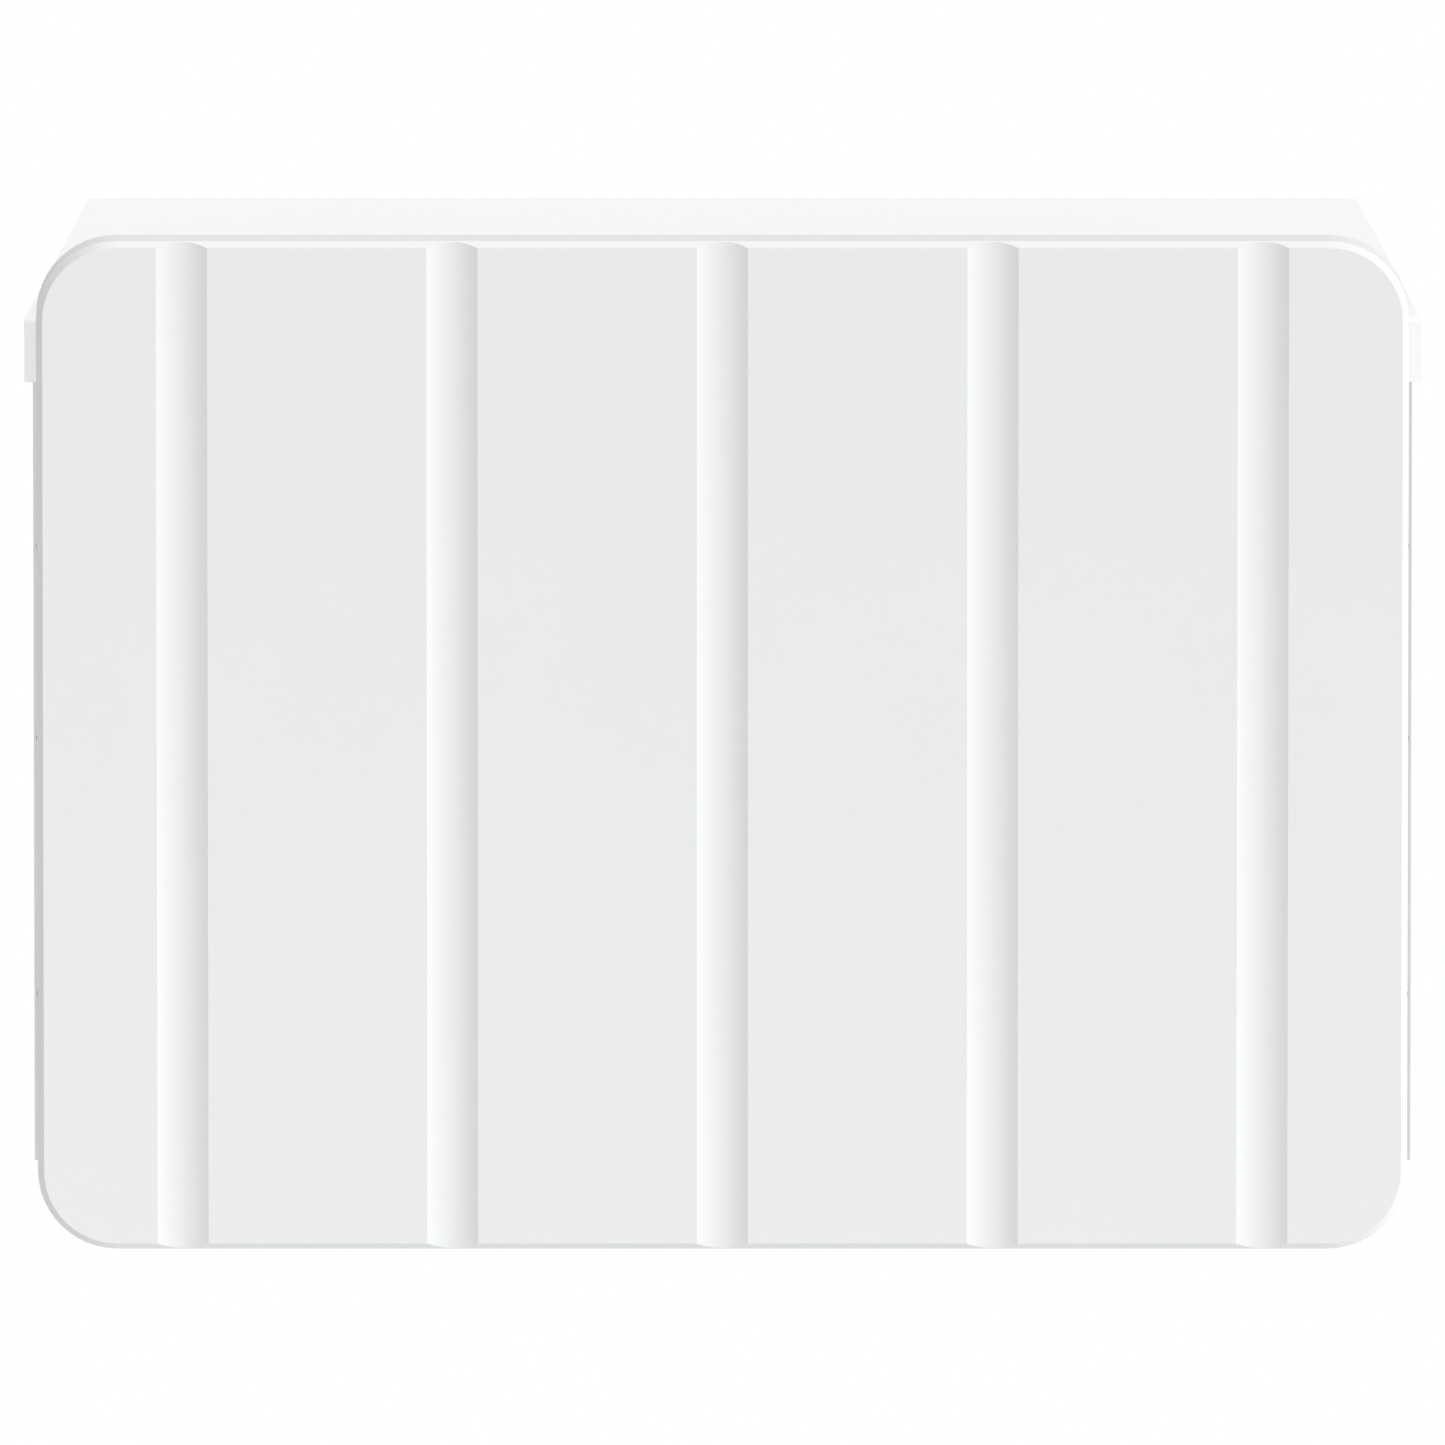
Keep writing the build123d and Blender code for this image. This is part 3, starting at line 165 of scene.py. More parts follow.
def metal(name, color, roughness, stretch, scale=60.0, mottle=0.85, depth=0.00004):
    """Bare or plated metal: streaks along one axis, cloudy tone and fine scratches."""
    made = material(name, color, roughness, metallic=1.0)
    where = object_coordinates(made, stretch)
    streak = noise(made, where, scale, detail=6.0, rough=0.6)
    tone(made, streak, "Fac", ((0.3, tinted(color, mottle)), (0.7, color)))
    gloss(made, streak, "Fac", max(0.05, roughness - 0.1), roughness + 0.12)
    relief(made, streak, "Fac", 0.3, depth)
    return made


def spangled(name, color):
    """Zinc coated sheet with its crystal spangle."""
    made = material(name, color, 0.38, metallic=1.0)
    where = object_coordinates(made)
    crystals = add(made, "ShaderNodeTexVoronoi", Scale=160.0)
    link(made, where, "Vector", crystals, "Vector")
    split = add(made, "ShaderNodeSeparateColor")
    link(made, crystals, "Color", split, "Color")
    tone(made, split, "Red", ((0.0, tinted(color, 0.78)), (1.0, tinted(color, 1.12))))
    gloss(made, split, "Green", 0.28, 0.48)
    relief(made, noise(made, where, 900.0), "Fac", 0.15, 0.00003)
    return made


def foam(name, color):
    """Closed-cell foam or rubber with open pores on its cut faces."""
    made = coated(name, color, 0.85, 900.0, 0.0001)
    cells = add(made, "ShaderNodeTexVoronoi", Scale=700.0)
    link(made, object_coordinates(made), "Vector", cells, "Vector")
    relief(made, cells, "Distance", 0.5, 0.0002)
    return made


def clear(name, color, alpha):
    """Clear moulding with faint haze and wipe marks."""
    made = coated(name, color, 0.12, 40.0, 0.00002, grain=0.1)
    shader_of(made).inputs["Alpha"].default_value = alpha
    shader_of(made).inputs["Transmission Weight"].default_value = 0.3
    return made


def board(name):
    """Solder mask over copper tracks on a fine grid."""
    made = material(name, (0.012, 0.11, 0.045), 0.3)
    tracks = add(made, "ShaderNodeTexBrick", Scale=60.0)
    tracks.inputs["Color1"].default_value = (0.012, 0.12, 0.05, 1)
    tracks.inputs["Color2"].default_value = (0.02, 0.16, 0.07, 1)
    tracks.inputs["Mortar"].default_value = (0.04, 0.25, 0.1, 1)
    link(made, object_coordinates(made), "Vector", tracks, "Vector")
    link(made, tracks, "Color", shader_of(made), "Base Color")
    relief(made, tracks, "Fac", 0.3, 0.00005)
    return made


ALONG_X = (0.05, 1.0, 1.0)
ALONG_Y = (1.0, 0.05, 1.0)
ALONG_Z = (1.0, 1.0, 0.05)
EVEN = (1.0, 1.0, 1.0)
# One coat for each material slot of the record.
COATS = {
    "cover_shell": coated("cover_moulding", (0.697, 0.702, 0.7), 0.48, 1400.0, 0.00004, 0.993),
    "hood_paint": coated("hood_powder_coat", (0.75, 0.754, 0.757), 0.5, 1100.0, 0.00005, 0.993),
    "chassis_paint": coated("chassis_powder_coat", (0.66, 0.667, 0.672), 0.52, 1100.0, 0.00006),
    "panel_paint": coated("panel_powder_coat", (0.61, 0.618, 0.626), 0.52, 1100.0, 0.00006),
    "galvanised": spangled("galvanised_sheet", (0.56, 0.575, 0.59)),
    "bright_steel": metal("bright_zinc", (0.62, 0.62, 0.64), 0.28, ALONG_Y),
    "black_plastic": coated("black_moulding", (0.022, 0.022, 0.024), 0.45, 1600.0, 0.00005),
    "device_grey": coated("grey_moulding", (0.42, 0.44, 0.45), 0.42, 1500.0, 0.00004),
    "foam_rubber": foam("foam_rubber", (0.03, 0.03, 0.033)),
    "cell_film": coated("cell_film", (0.015, 0.07, 0.28), 0.25, 300.0, 0.00003),
    "clear_lid": clear("clear_lid", (0.86, 0.92, 0.97), 0.35),
    "bare_aluminium": metal("mill_aluminium", (0.7, 0.71, 0.73), 0.34, ALONG_X),
    "separator_foam": foam("separator_sheet", (0.62, 0.6, 0.52)),
    "copper_bar": metal("copper", (0.72, 0.33, 0.2), 0.3, ALONG_Z),
    "inverter_case": coated("inverter_powder_coat", (0.05, 0.052, 0.056), 0.5, 1200.0, 0.00006),
    "circuit_board": board("circuit_board"),
    "fuse_ceramic": coated("fuse_ceramic", (0.72, 0.7, 0.64), 0.3, 500.0, 0.00003),
    "cable_red": coated("red_jacket", (0.36, 0.012, 0.01), 0.5, 800.0, 0.00004),
    "cable_black": coated("black_jacket", (0.02, 0.02, 0.02), 0.5, 800.0, 0.00004),
    "brass_bar": metal("brass", (0.68, 0.48, 0.2), 0.3, ALONG_X),
    "knob_red": coated("knob_moulding", (0.42, 0.02, 0.015), 0.33, 1500.0, 0.00003),
    "button_white": coated("button_moulding", (0.8, 0.81, 0.82), 0.3, 1500.0, 0.00002),
    "light_lens": clear("frosted_lens", (0.55, 0.8, 0.62), 0.7),
    "cast_hub": metal("die_casting", (0.46, 0.47, 0.49), 0.45, EVEN, 220.0, 0.75, 0.0001),
}


def coat_cad_nodes():
    """Give every CAD node the coat of its slot."""
    slots = {entry["node"]: entry["material_slot"] for entry in frame["record"]["subparts"]}
    for name, thing in frame["nodes"].items():
        for slot in thing.material_slots:
            slot.material = COATS[slots[name]]


# ---- camera, floor and light ------------------------------------------------------------------
VIEW_ELEVATION = math.radians(10.0)
FRAME_TO_WIDTH = 1.035         # width of the picture against the unit's width
AIM_ABOVE_MIDDLE = 19 * MM     # the picture's centre is a little above the cover's centre
LENS = 1200.0                  # in millimetres, like the sensor: a distant view, almost parallel
SENSOR = 36.0
FLOOR_RADIUS = 3.0
FLOOR_DROP = 0.55              # from the unit's lowest point down to the floor
FLOOR_AHEAD = 1.4              # from the wall to the floor's centre
KEY_DIRECTION = (0.9, -0.46, 0.12)


def camera():
    """A distant camera in front, looking slightly down on the cover."""
    data = bpy.data.cameras.new("photo_camera")
    data.sensor_width = SENSOR
    data.lens = LENS
    distance = WIDTH * FRAME_TO_WIDTH * LENS / SENSOR
    data.clip_end = distance * 6
    cover_low, cover_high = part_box("front_cover")
    aim = Vector((0.0, cover_low[1], (cover_low[2] + cover_high[2]) / 2 + AIM_ABOVE_MIDDLE))
    away = Vector((0.0, -math.cos(VIEW_ELEVATION), math.sin(VIEW_ELEVATION)))
    made = bpy.data.objects.new("photo_camera", data)
    made.location = aim + away * distance
    made.rotation_euler = (math.pi / 2 - VIEW_ELEVATION, 0.0, 0.0)
    bpy.context.scene.collection.objects.link(made)
    bpy.context.scene.camera = made


def floor():
    """A pale round studio floor well below the hanging unit, out of the picture's frame."""
    mesh = bpy.data.meshes.new("studio_floor")
    shape = bmesh.new()
    bmesh.ops.create_circle(shape, cap_ends=True, segments=96, radius=FLOOR_RADIUS)
    shape.to_mesh(mesh)
    shape.free()
    made = bpy.data.objects.new("studio_floor", mesh)
    made.location = (0.0, -FLOOR_AHEAD, LOW.z - FLOOR_DROP)
    mesh.materials.append(coated("floor_paint", (0.8, 0.8, 0.8), 0.7, 30.0, 0.0005))
    bpy.context.scene.collection.objects.link(made)


def world(glow):
    """White to the eye, and a weaker even glow as light."""
    made = bpy.data.worlds.new("studio")
    made.use_nodes = True
    nodes, links = made.node_tree.nodes, made.node_tree.links
    nodes.clear()
    output = nodes.new("ShaderNodeOutputWorld")
    mix = nodes.new("ShaderNodeMixShader")
    eye = nodes.new("ShaderNodeLightPath")
    light = nodes.new("ShaderNodeBackground")
    seen = nodes.new("ShaderNodeBackground")
    light.inputs["Color"].default_value = (glow, glow, glow, 1.0)
    seen.inputs["Color"].default_value = (1.0, 1.0, 1.0, 1.0)
    links.new(eye.outputs["Is Camera Ray"], mix.inputs["Fac"])
    links.new(light.outputs["Background"], mix.inputs[1])
    links.new(seen.outputs["Background"], mix.inputs[2])
    links.new(mix.outputs["Shader"], output.inputs["Surface"])
    bpy.context.scene.world = made


def sun(name, direction, strength, spread=25, shadows=True):
    """A soft sun; direction is the way towards it, and spread its width in degrees."""
    data = bpy.data.lights.new(name, "SUN")
    data.energy = strength
    data.angle = math.radians(spread)
    data.use_shadow = shadows
    made = bpy.data.objects.new(name, data)
    made.rotation_euler = Vector(direction).to_track_quat("Z", "Y").to_euler()
    bpy.context.scene.collection.objects.link(made)


def lights():
    """A key from the right that casts only faint shadows, and weaker suns round it."""
    world(glow=0.60)
    sun("right_key", KEY_DIRECTION, strength=0.3)
    sun("right_wash", KEY_DIRECTION, strength=1.7, shadows=False)
    sun("back_light", (0.0, 0.8, 0.6), strength=0.2)
    sun("top_light", (0.05, 0.0, 1.0), strength=1.0)
    sun("front_fill", (0.0, -1.0, 0.35), strength=0.58, spread=40, shadows=False)


# ---- mesh builders ------------------------------------------------------------------------------
def piece(name, shape, coat, body):
    """Turn a bmesh into a smooth piece that rides on a body and wears one of the coats."""
    bmesh.ops.recalc_face_normals(shape, faces=shape.faces)
    mesh = bpy.data.meshes.new(name)
    shape.to_mesh(mesh)
    shape.free()
    mesh.shade_smooth()
    mesh.set_sharp_from_angle(angle=math.radians(35))
    mesh.materials.append(COATS[coat])
    made = bpy.data.objects.new(name, mesh)
    bpy.context.scene.collection.objects.link(made)
    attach(made, body)


def loft(shape, rings, closed_path=False, caps=True):
    """Skin a row of closed point rings; a closed path joins the last ring to the first."""
    rows = [[shape.verts.new(point) for point in ring] for ring in rings]
    pairs = list(zip(rows, rows[1:]))
    if closed_path:
        pairs.append((rows[-1], rows[0]))
    for one, two in pairs:
        for i in range(len(one)):
            k = (i + 1) % len(one)
            shape.faces.new((one[i], one[k], two[k], two[i]))
    if caps and not closed_path:
        shape.faces.new(rows[0])
        shape.faces.new(rows[-1])


def circle(center, side, other, radius, steps):
    """Points round a circle in the plane of two unit vectors."""
    turns = [2 * math.pi * i / steps for i in range(steps)]
    return [center + (side * math.cos(t) + other * math.sin(t)) * radius for t in turns]


def lathe(shape, profile, center, axis, segments):
    """Turn a profile of (distance along axis, radius) pairs about an axis through center."""
    axis = Vector(axis).normalized()
    side = axis.orthogonal().normalized()
    other = axis.cross(side)
    loft(shape, [circle(Vector(center) + axis * along, side, other, radius, segments)
                 for along, radius in profile])


def dome(radius, height, steps=6):
    """Profile of a low dome head standing on its base, left almost closed at its top."""
    turns = [math.pi / 2 * i / steps for i in range(1, steps)]
    curve = [(height * math.sin(t), radius * math.cos(t)) for t in turns]
    return [(0.0, radius), *curve, (height, radius * 0.02)]


def tube_along(shape, path, radius, closed=False, sides=10):
    """A round tube along a path of points."""
    count = len(path)
    rings = []
    for i, point in enumerate(path):
        before = path[i - 1] if closed or i else point
        after = path[(i + 1) % count] if closed or i < count - 1 else point
        ahead = (after - before).normalized()
        up = BACK if abs(ahead.y) < 0.9 else RIGHT
        side = ahead.cross(up).normalized()
        lift = side.cross(ahead).normalized()
        rings.append(circle(point, side, lift, radius, sides))
    loft(shape, rings, closed_path=closed)


def rounded_loop(width, height, corner, y, steps=12):
    """Points round an upright rectangle with round corners, centred on the origin."""
    points = []
    for quarter in range(4):
        cx = (width / 2 - corner) * (1 if quarter in (0, 3) else -1)
        cz = (height / 2 - corner) * (1 if quarter in (0, 1) else -1)
        for i in range(steps + 1):
            turn = math.pi / 2 * (quarter + i / steps)
            points.append(Vector((cx + corner * math.cos(turn), y, cz + corner * math.sin(turn))))
    return points


def mirrored(path):
    """The path's points on the unit's other side, in reverse order."""
    return [Vector((-point.x, point.y, point.z)) for point in reversed(path)]


def smooth_step(value):
    """Ease from 0 to 1, level at both ends."""
    value = min(1.0, max(0.0, value))
    return value * value * (3 - 2 * value)


def fill_grid(shape, grid):
    """Join the rows of a grid of vertices with faces."""
    for lower, upper in zip(grid, grid[1:]):
        for i in range(len(lower) - 1):
            shape.faces.new((lower[i], lower[i + 1], upper[i + 1], upper[i]))


def pressing(shape, center, across, along, width, length, rise, slope, corner, cells):
    """A raised pad with round corners and edges that slope over a short width, as pressed into
    sheet metal. It rises along across x along; cells are its faces in the two directions."""
    out = across.cross(along).normalized()
    columns, rows = cells
    grid = []
    for j in range(rows + 1):
        v = (j / rows - 0.5) * length
        line = []
        for i in range(columns + 1):
            u = (i / columns - 0.5) * width
            du = max(0.0, abs(u) - (width / 2 - corner))
            dv = max(0.0, abs(v) - (length / 2 - corner))
            inside = corner - math.hypot(du, dv)
            if du == 0 or dv == 0:
                inside = min(width / 2 - abs(u), length / 2 - abs(v))
            height = rise * smooth_step(inside / slope)
            line.append(shape.verts.new(Vector(center) + across * u + along * v + out * height))
        grid.append(line)
    fill_grid(shape, grid)


def long_cells(width, length):
    """Cells of about 4 mm for a long pressing, and at least twelve each way."""
    fewest, cell, rounding = 12, 4 * MM, 0.001
    return tuple(max(fewest, int(size / cell + rounding)) for size in (width, length))


def louvre(shape, center, across, along, width, length, rise):
    """A pressed louvre: highest at its open lower edge, blended into the sheet elsewhere."""
    columns, rows = 16, 8
    sheet = 0.8 * MM
    out = across.cross(along).normalized()
    grid = []
    for j in range(rows + 1):
        fall = j / rows
        line = []
        for i in range(columns + 1):
            u = i / columns - 0.5
            end = smooth_step((0.5 - abs(u)) * 5)
            height = rise * end * math.cos(math.pi / 2 * fall)
            place = Vector(center) + across * u * width + along * (fall - 0.5) * length
            line.append(shape.verts.new(place + out * height))
        grid.append(line)
    fill_grid(shape, grid)
    edge = grid[0]
    under = [shape.verts.new(vertex.co - out * sheet) for vertex in edge]
    for i in range(columns):
        shape.faces.new((edge[i + 1], edge[i], under[i], under[i + 1]))


# ---- the cover ----------------------------------------------------------------------------------
COVER_LOW, COVER_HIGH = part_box("front_cover")
COVER_SIZE = COVER_HIGH - COVER_LOW
COVER_CORNER = 61.5 * MM
COVER_WALL = 2.5 * MM
FLUTE_PITCH = 208 * MM
BARS_LOW, BARS_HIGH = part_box("cover_bars")
BAR_HEIGHT = 30 * MM
RIB_GAP = 10 * MM              # between a rib's end and a channel bar


def cover_edge_bead():
    """A pale rubber bead pushed over the cover's rear rim."""
    radius = 1.5 * MM
    inset = 1.6 * MM
    loop = rounded_loop(COVER_SIZE.x - 2 * inset, COVER_SIZE.z - 2 * inset,
                        COVER_CORNER - inset, COVER_HIGH.y - 1.0 * MM)
    shape = bmesh.new()
    tube_along(shape, loop, radius, closed=True)
    piece("cover_edge_bead", shape, "button_white", "cover")


def cover_ribs():
    """Moulded ribs inside the cover, midway between its flutes, in three runs past the bars."""
    middle_end = BARS_HIGH.z - BAR_HEIGHT - RIB_GAP
    outer_start = BARS_HIGH.z + RIB_GAP
    outer_end = COVER_HIGH.z - 9 * MM
    runs = ((-middle_end, middle_end), (-outer_end, -outer_start), (outer_start, outer_end))
    shape = bmesh.new()
    for pitches in (-1.5, -0.5, 0.5, 1.5):
        for low, high in runs:
            rib(shape, pitches * FLUTE_PITCH, COVER_LOW.y + COVER_WALL, low, high)
    piece("cover_ribs", shape, "cover_shell", "cover")


def rib(shape, x, foot, low, high):
    """One upright rib with draft and rounded ends."""
    height = 7 * MM
    half_foot, half_top = 1.1 * MM, 0.7 * MM
    steps = 8
    turns = [math.pi / 2 * i / steps for i in range(1, steps + 1)]
    profile = [(low, 0.0)]
    profile += [(low + height * (1 - math.cos(t)), height * math.sin(t)) for t in turns]
    profile += [(low + high - z, h) for z, h in reversed(profile)]
    rings = []
    for z, h in profile:
        half = half_foot + (half_top - half_foot) * h / height
        rings.append([Vector((x - half_foot, foot, z)), Vector((x - half, foot + h, z)),
                      Vector((x + half, foot + h, z)), Vector((x + half_foot, foot, z))])
    loft(shape, rings)


def bar_rivets():
    """Dome rivets along both channel bars."""
    count = 10
    reach = BARS_HIGH.x - 22 * MM
    shape = bmesh.new()
    for z in (BARS_LOW.z + BAR_HEIGHT / 2, BARS_HIGH.z - BAR_HEIGHT / 2):
        for i in range(count):
            x = -reach + 2 * reach * i / (count - 1)
            lathe(shape, dome(4.2 * MM, 2.2 * MM), (x, BARS_HIGH.y, z), BACK, 20)
    piece("cover_bar_rivets", shape, "bright_steel", "cover")


# ---- the hood -----------------------------------------------------------------------------------
HOOD_LOW, HOOD_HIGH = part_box("rain_hood")
LIP_HEIGHT = 49 * MM
LIP_TOP = HOOD_LOW.z + LIP_HEIGHT
HALF_FRONT = HOOD_HIGH.x
HALF_BACK = 489.5 * MM
SLOPE_RUN = HOOD_HIGH.y - HOOD_LOW.y
HOOD_TAPER = (HALF_FRONT - HALF_BACK) / SLOPE_RUN
HOOD_SLOPE = (HOOD_HIGH.z - LIP_TOP) / SLOPE_RUN


def half_width(y, inset=0.0):
    """Half the hood's width at a depth, or of what lies inset beneath its side lips."""
    return HALF_FRONT - inset - HOOD_TAPER * (y - HOOD_LOW.y)


def roof(y):
    """Height of the hood's sloped sheet at a depth."""
    return LIP_TOP + HOOD_SLOPE * (y - HOOD_LOW.y)


def hood_wall_seal():
    """Foam bead between the hood's back edge and the wall."""
    radius = 1.9 * MM
    bend = 8 * MM
    y = HOOD_HIGH.y + 2.0 * MM
    top = HOOD_HIGH.z - 2.2 * MM
    foot = HOOD_HIGH.z - LIP_HEIGHT
    side = HALF_BACK - 3 * MM
    path = [Vector((-side, y, foot)), Vector((-side, y, top - bend))]
    path += [Vector((-side + bend * (1 - math.cos(t)), y, top - bend * (1 - math.sin(t))))
             for t in (0.4, 0.8, 1.2)]
    path += [Vector((-side + bend, y, top))]
    path += mirrored(path)
    shape = bmesh.new()
    tube_along(shape, path, radius)
    piece("hood_wall_seal", shape, "foam_rubber", "chassis")


def hood_hem():
    """Closed hem along the lower edge of the hood's lips."""
    radius = 1.5 * MM
    inset = 2.4 * MM
    steps = 24
    front, back = HOOD_LOW.y + 2.2 * MM, HOOD_HIGH.y - 2 * MM
    path = [Vector((-half_width(y, inset), y, roof(y) - LIP_HEIGHT)) for y in (back, front)]
    path += mirrored(path)
    shape = bmesh.new()
    for one, two in zip(path, path[1:]):
        tube_along(shape, [one.lerp(two, i / steps) for i in range(steps + 1)], radius)
    piece("hood_hem", shape, "hood_paint", "chassis")


def hood_screw_heads():
    """Dome heads on the hood's side lips, over the spacers behind them."""
    spacer_ys = (-125 * MM, -75 * MM, -30 * MM)
    shape = bmesh.new()
    for side in (-1, 1):
        normal = Vector((side, HOOD_TAPER, 0)).normalized()
        for y in spacer_ys:
            center = Vector((side * half_width(y), y, roof(y) - LIP_HEIGHT / 2))
            lathe(shape, dome(5 * MM, 2.2 * MM), center, normal, 24)
    piece("hood_screw_heads", shape, "bright_steel", "chassis")


# ---- the chassis --------------------------------------------------------------------------------
TUB_LOW, TUB_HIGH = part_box("chassis_tub")
TUB_INSET = 5 * MM             # from the hood's side lip in to the tub's flank
PANEL_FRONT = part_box("front_panel")[0].y
SUNK = 0.1 * MM                # a pressing's rim lies this far inside its sheet
CONDUITS = [Vector(mount["pos_m"]) for mount in frame["record"]["mounts"]
            if mount["kind"] == "bore"]
FITTINGS_Y = CONDUITS[0].y     # the middle line of everything through the tub's floor
BREAKER_Z = 130 * MM           # middle of the breaker's window


def flank_louvres():
    """Two columns of louvres high on each flank."""
    columns = (-112 * MM, -50 * MM)
    count, lowest, pitch = 9, 60 * MM, 20 * MM
    clearance = 0.1 * MM
    for side, name in ((-1, "left"), (1, "right")):
        shape = bmesh.new()
        along_flank = Vector((-side * HOOD_TAPER, 1.0, 0.0)).normalized()
        for y in columns:
            x = side * (half_width(y, TUB_INSET) + clearance)
            for i in range(count):
                louvre(shape, (x, y, lowest + i * pitch), along_flank * side, UP,
                       width=48 * MM, length=11 * MM, rise=3.6 * MM)
        piece(f"flank_louvres_{name}", shape, "chassis_paint", "chassis")


def back_pressings():
    """Stiffening ribs pressed into the tub's back, round the bracket."""
    beneath = ((0, -250, 560, 26), (0, -212, 560, 16))
    beside = ((-385, 30, 26, 420), (385, 30, 26, 420))
    above = ((0, 300, 700, 30), (0, 262, 700, 16))
    shape = bmesh.new()
    for rib_place in beneath + beside + above:
        x, z, width, length = (size * MM for size in rib_place)
        pressing(shape, (x, TUB_HIGH.y - SUNK, z), -RIGHT, UP, width, length, rise=3.2 * MM,
                 slope=6 * MM, corner=min(width, length) * 0.45, cells=long_cells(width, length))
    piece("back_pressings", shape, "chassis_paint", "chassis")


def floor_pressings():
    """Shallow pads pressed into the tub's floor between its fittings."""
    shape = bmesh.new()
    for x in (-300 * MM, -130 * MM, 40 * MM):
        pressing(shape, (x, FITTINGS_Y, TUB_LOW.z + SUNK), BACK, RIGHT, 70 * MM, 120 * MM,
                 rise=2.4 * MM, slope=6 * MM, corner=20 * MM, cells=(24, 40))
    piece("floor_pressings", shape, "chassis_paint", "chassis")


def panel_pressings():
    """Shallow raised fields on the inner front panel, clear of the sockets and the breaker."""
    shape = bmesh.new()
    for x, width in ((-330 * MM, 290 * MM), (0, 290 * MM), (280 * MM, 190 * MM)):
        columns = round(width / (5 * MM))
        pressing(shape, (x, PANEL_FRONT + SUNK, 0), RIGHT, UP, width, 400 * MM,
                 rise=2.0 * MM, slope=7 * MM, corner=26 * MM, cells=(columns, 80))
    piece("panel_pressings", shape, "panel_paint", "chassis")


def breaker_x():
    """The breaker's middle, over its lever."""
    low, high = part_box("breaker_lever")
    return (low.x + high.x) / 2


def breaker_frame():
    """Moulded frame round the breaker's window."""
    window_width, window_height, window_corner = 26 * MM, 52 * MM, 2 * MM
    # Height above the panel and spread beyond the window, from the inner foot to the outer one.
    section = ((0.0, 0.0), (2.2, 0.4), (2.6, 1.6), (2.6, 4.5), (1.0, 5.0), (0.0, 5.0))
    middle = Vector((breaker_x(), 0, BREAKER_Z))
    rings = []
    for height, spread in section:
        loop = rounded_loop(window_width + 2 * spread * MM, window_height + 2 * spread * MM,
                            window_corner + spread * MM, PANEL_FRONT - height * MM, 5)
        rings.append([point + middle for point in loop])
    shape = bmesh.new()
    loft(shape, rings, caps=False)
    piece("breaker_frame", shape, "device_grey", "chassis")


def blank_plate():
    """A plain rating plate beneath the breaker."""
    shape = bmesh.new()
    pressing(shape, (breaker_x(), PANEL_FRONT + SUNK, BREAKER_Z - 90 * MM), RIGHT, UP,
             90 * MM, 46 * MM, rise=0.9 * MM, slope=0.7 * MM, corner=5 * MM, cells=(60, 40))
    piece("blank_plate", shape, "bare_aluminium", "chassis")


def panel_washers():
    """Sealing washers under the panel screws."""
    low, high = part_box("panel_screws")
    head = 4.5 * MM
    bottom, top, side = low.z + head, high.z - head, high.x - head
    places = [(x * MM, z) for x in (-420, -140, 140, 420) for z in (bottom, top)]
    places += [(x, z * MM) for z in (-200, 0, 150) for x in (-side, side)]
    section = ((0, 7 * MM), (0.5 * MM, 6.8 * MM), (0.8 * MM, 6.2 * MM), (0.8 * MM, 3 * MM))
    shape = bmesh.new()
    for x, z in places:
        lathe(shape, section, (x, PANEL_FRONT, z), -BACK, 28)
    piece("panel_washers", shape, "foam_rubber", "chassis")


def hub_threads():
    """Thread ridges on both conduit hubs."""
    hub_low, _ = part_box("conduit_hubs")
    radius, ridge = 17 * MM, 0.6 * MM
    count, first, pitch = 9, 2.5 * MM, 1.8 * MM
    shape = bmesh.new()
    for conduit in CONDUITS:
        for i in range(count):
            center = Vector((conduit.x, conduit.y, hub_low.z + first + pitch * i))
            tube_along(shape, circle(center, RIGHT, BACK, radius, 40), ridge, closed=True, sides=6)
    piece("hub_threads", shape, "cast_hub", "chassis")


# ---- controls -----------------------------------------------------------------------------------
def knob_pointer():
    """White pointer bar let into the knob's grip."""
    low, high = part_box("isolator_knob")
    middle = (low + high) / 2
    shape = bmesh.new()
    pressing(shape, (high.x - 0.2 * MM, middle.y, middle.z + 7 * MM), BACK, UP, 2.2 * MM, 11 * MM,
             rise=0.5 * MM, slope=0.4 * MM, corner=1 * MM, cells=(12, 30))
    piece("knob_pointer", shape, "button_white", "isolator_handle")


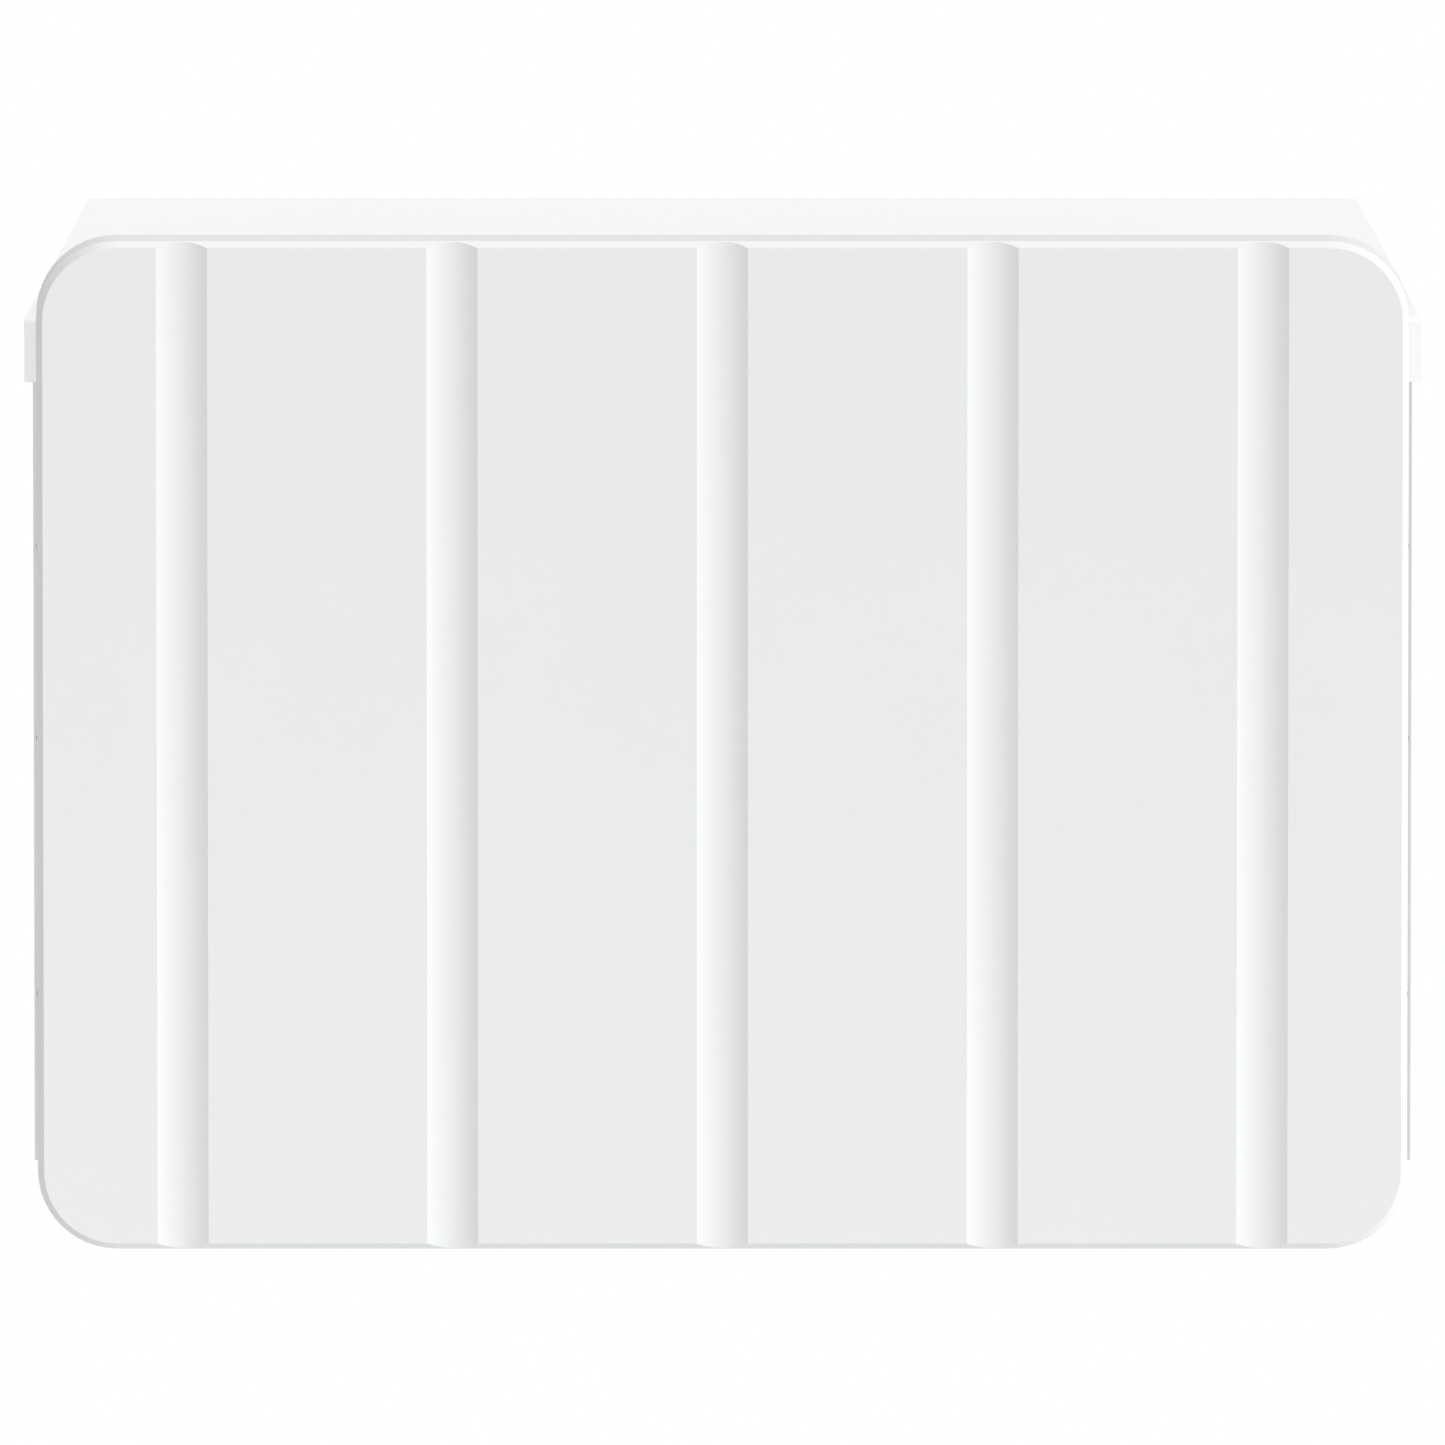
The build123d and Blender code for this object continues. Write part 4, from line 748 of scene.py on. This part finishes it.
def isolator_marks():
    """Two raised marks on the bezel for the knob's on and off positions."""
    low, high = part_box("isolator_bezel")
    middle = (low + high) / 2
    mark_radius = 18.3 * MM
    shape = bmesh.new()
    for across, along in ((BACK, UP), (-UP, BACK)):
        place = Vector((high.x - 0.2 * MM, middle.y, middle.z)) + along * mark_radius
        pressing(shape, place, across, along, 1.6 * MM, 3 * MM,
                 rise=0.5 * MM, slope=0.3 * MM, corner=0.6 * MM, cells=(10, 14))
    piece("isolator_marks", shape, "black_plastic", "chassis")


def button_ring():
    """A fine raised ring on the power button."""
    low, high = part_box("power_button")
    middle = (low + high) / 2
    radius, ridge = 3.2 * MM, 0.35 * MM
    loop = circle(Vector((high.x, middle.y, middle.z)), BACK, UP, radius, 40)
    shape = bmesh.new()
    tube_along(shape, loop, ridge, closed=True, sides=8)
    piece("button_ring", shape, "device_grey", "power_button")


def plug_slots():
    """A raised bar across each blanking plug, to turn it by."""
    low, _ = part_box("blanking_plugs")
    shape = bmesh.new()
    for x in (-400 * MM, -450 * MM):
        pressing(shape, (x, FITTINGS_Y, low.z + 0.05 * MM), BACK, RIGHT, 5 * MM, 24 * MM,
                 rise=0.9 * MM, slope=1 * MM, corner=2.2 * MM, cells=(14, 40))
    piece("plug_slots", shape, "device_grey", "chassis")


def bracket_pressings():
    """Ribs pressed into the wall bracket between its slots, towards the tub."""
    _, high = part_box("wall_bracket")
    plate = 3 * MM
    level = ((0, 110, 330, 18), (0, -110, 330, 18))
    upright = ((-120, 0, 18, 150), (120, 0, 18, 150))
    shape = bmesh.new()
    for rib_place in level + upright:
        x, z, width, length = (size * MM for size in rib_place)
        pressing(shape, (x, high.y - plate + SUNK, z), RIGHT, UP, width, length, rise=3 * MM,
                 slope=5 * MM, corner=8 * MM, cells=long_cells(width, length))
    piece("bracket_pressings", shape, "galvanised", "chassis")


coat_cad_nodes()
for build in (cover_edge_bead, cover_ribs, bar_rivets, hood_wall_seal, hood_hem, hood_screw_heads,
              flank_louvres, back_pressings, floor_pressings, panel_pressings, breaker_frame,
              blank_plate, panel_washers, hub_threads, knob_pointer, isolator_marks, button_ring,
              plug_slots, bracket_pressings):
    build()
camera()
floor()
lights()
bpy.context.scene.view_settings.view_transform = "Standard"
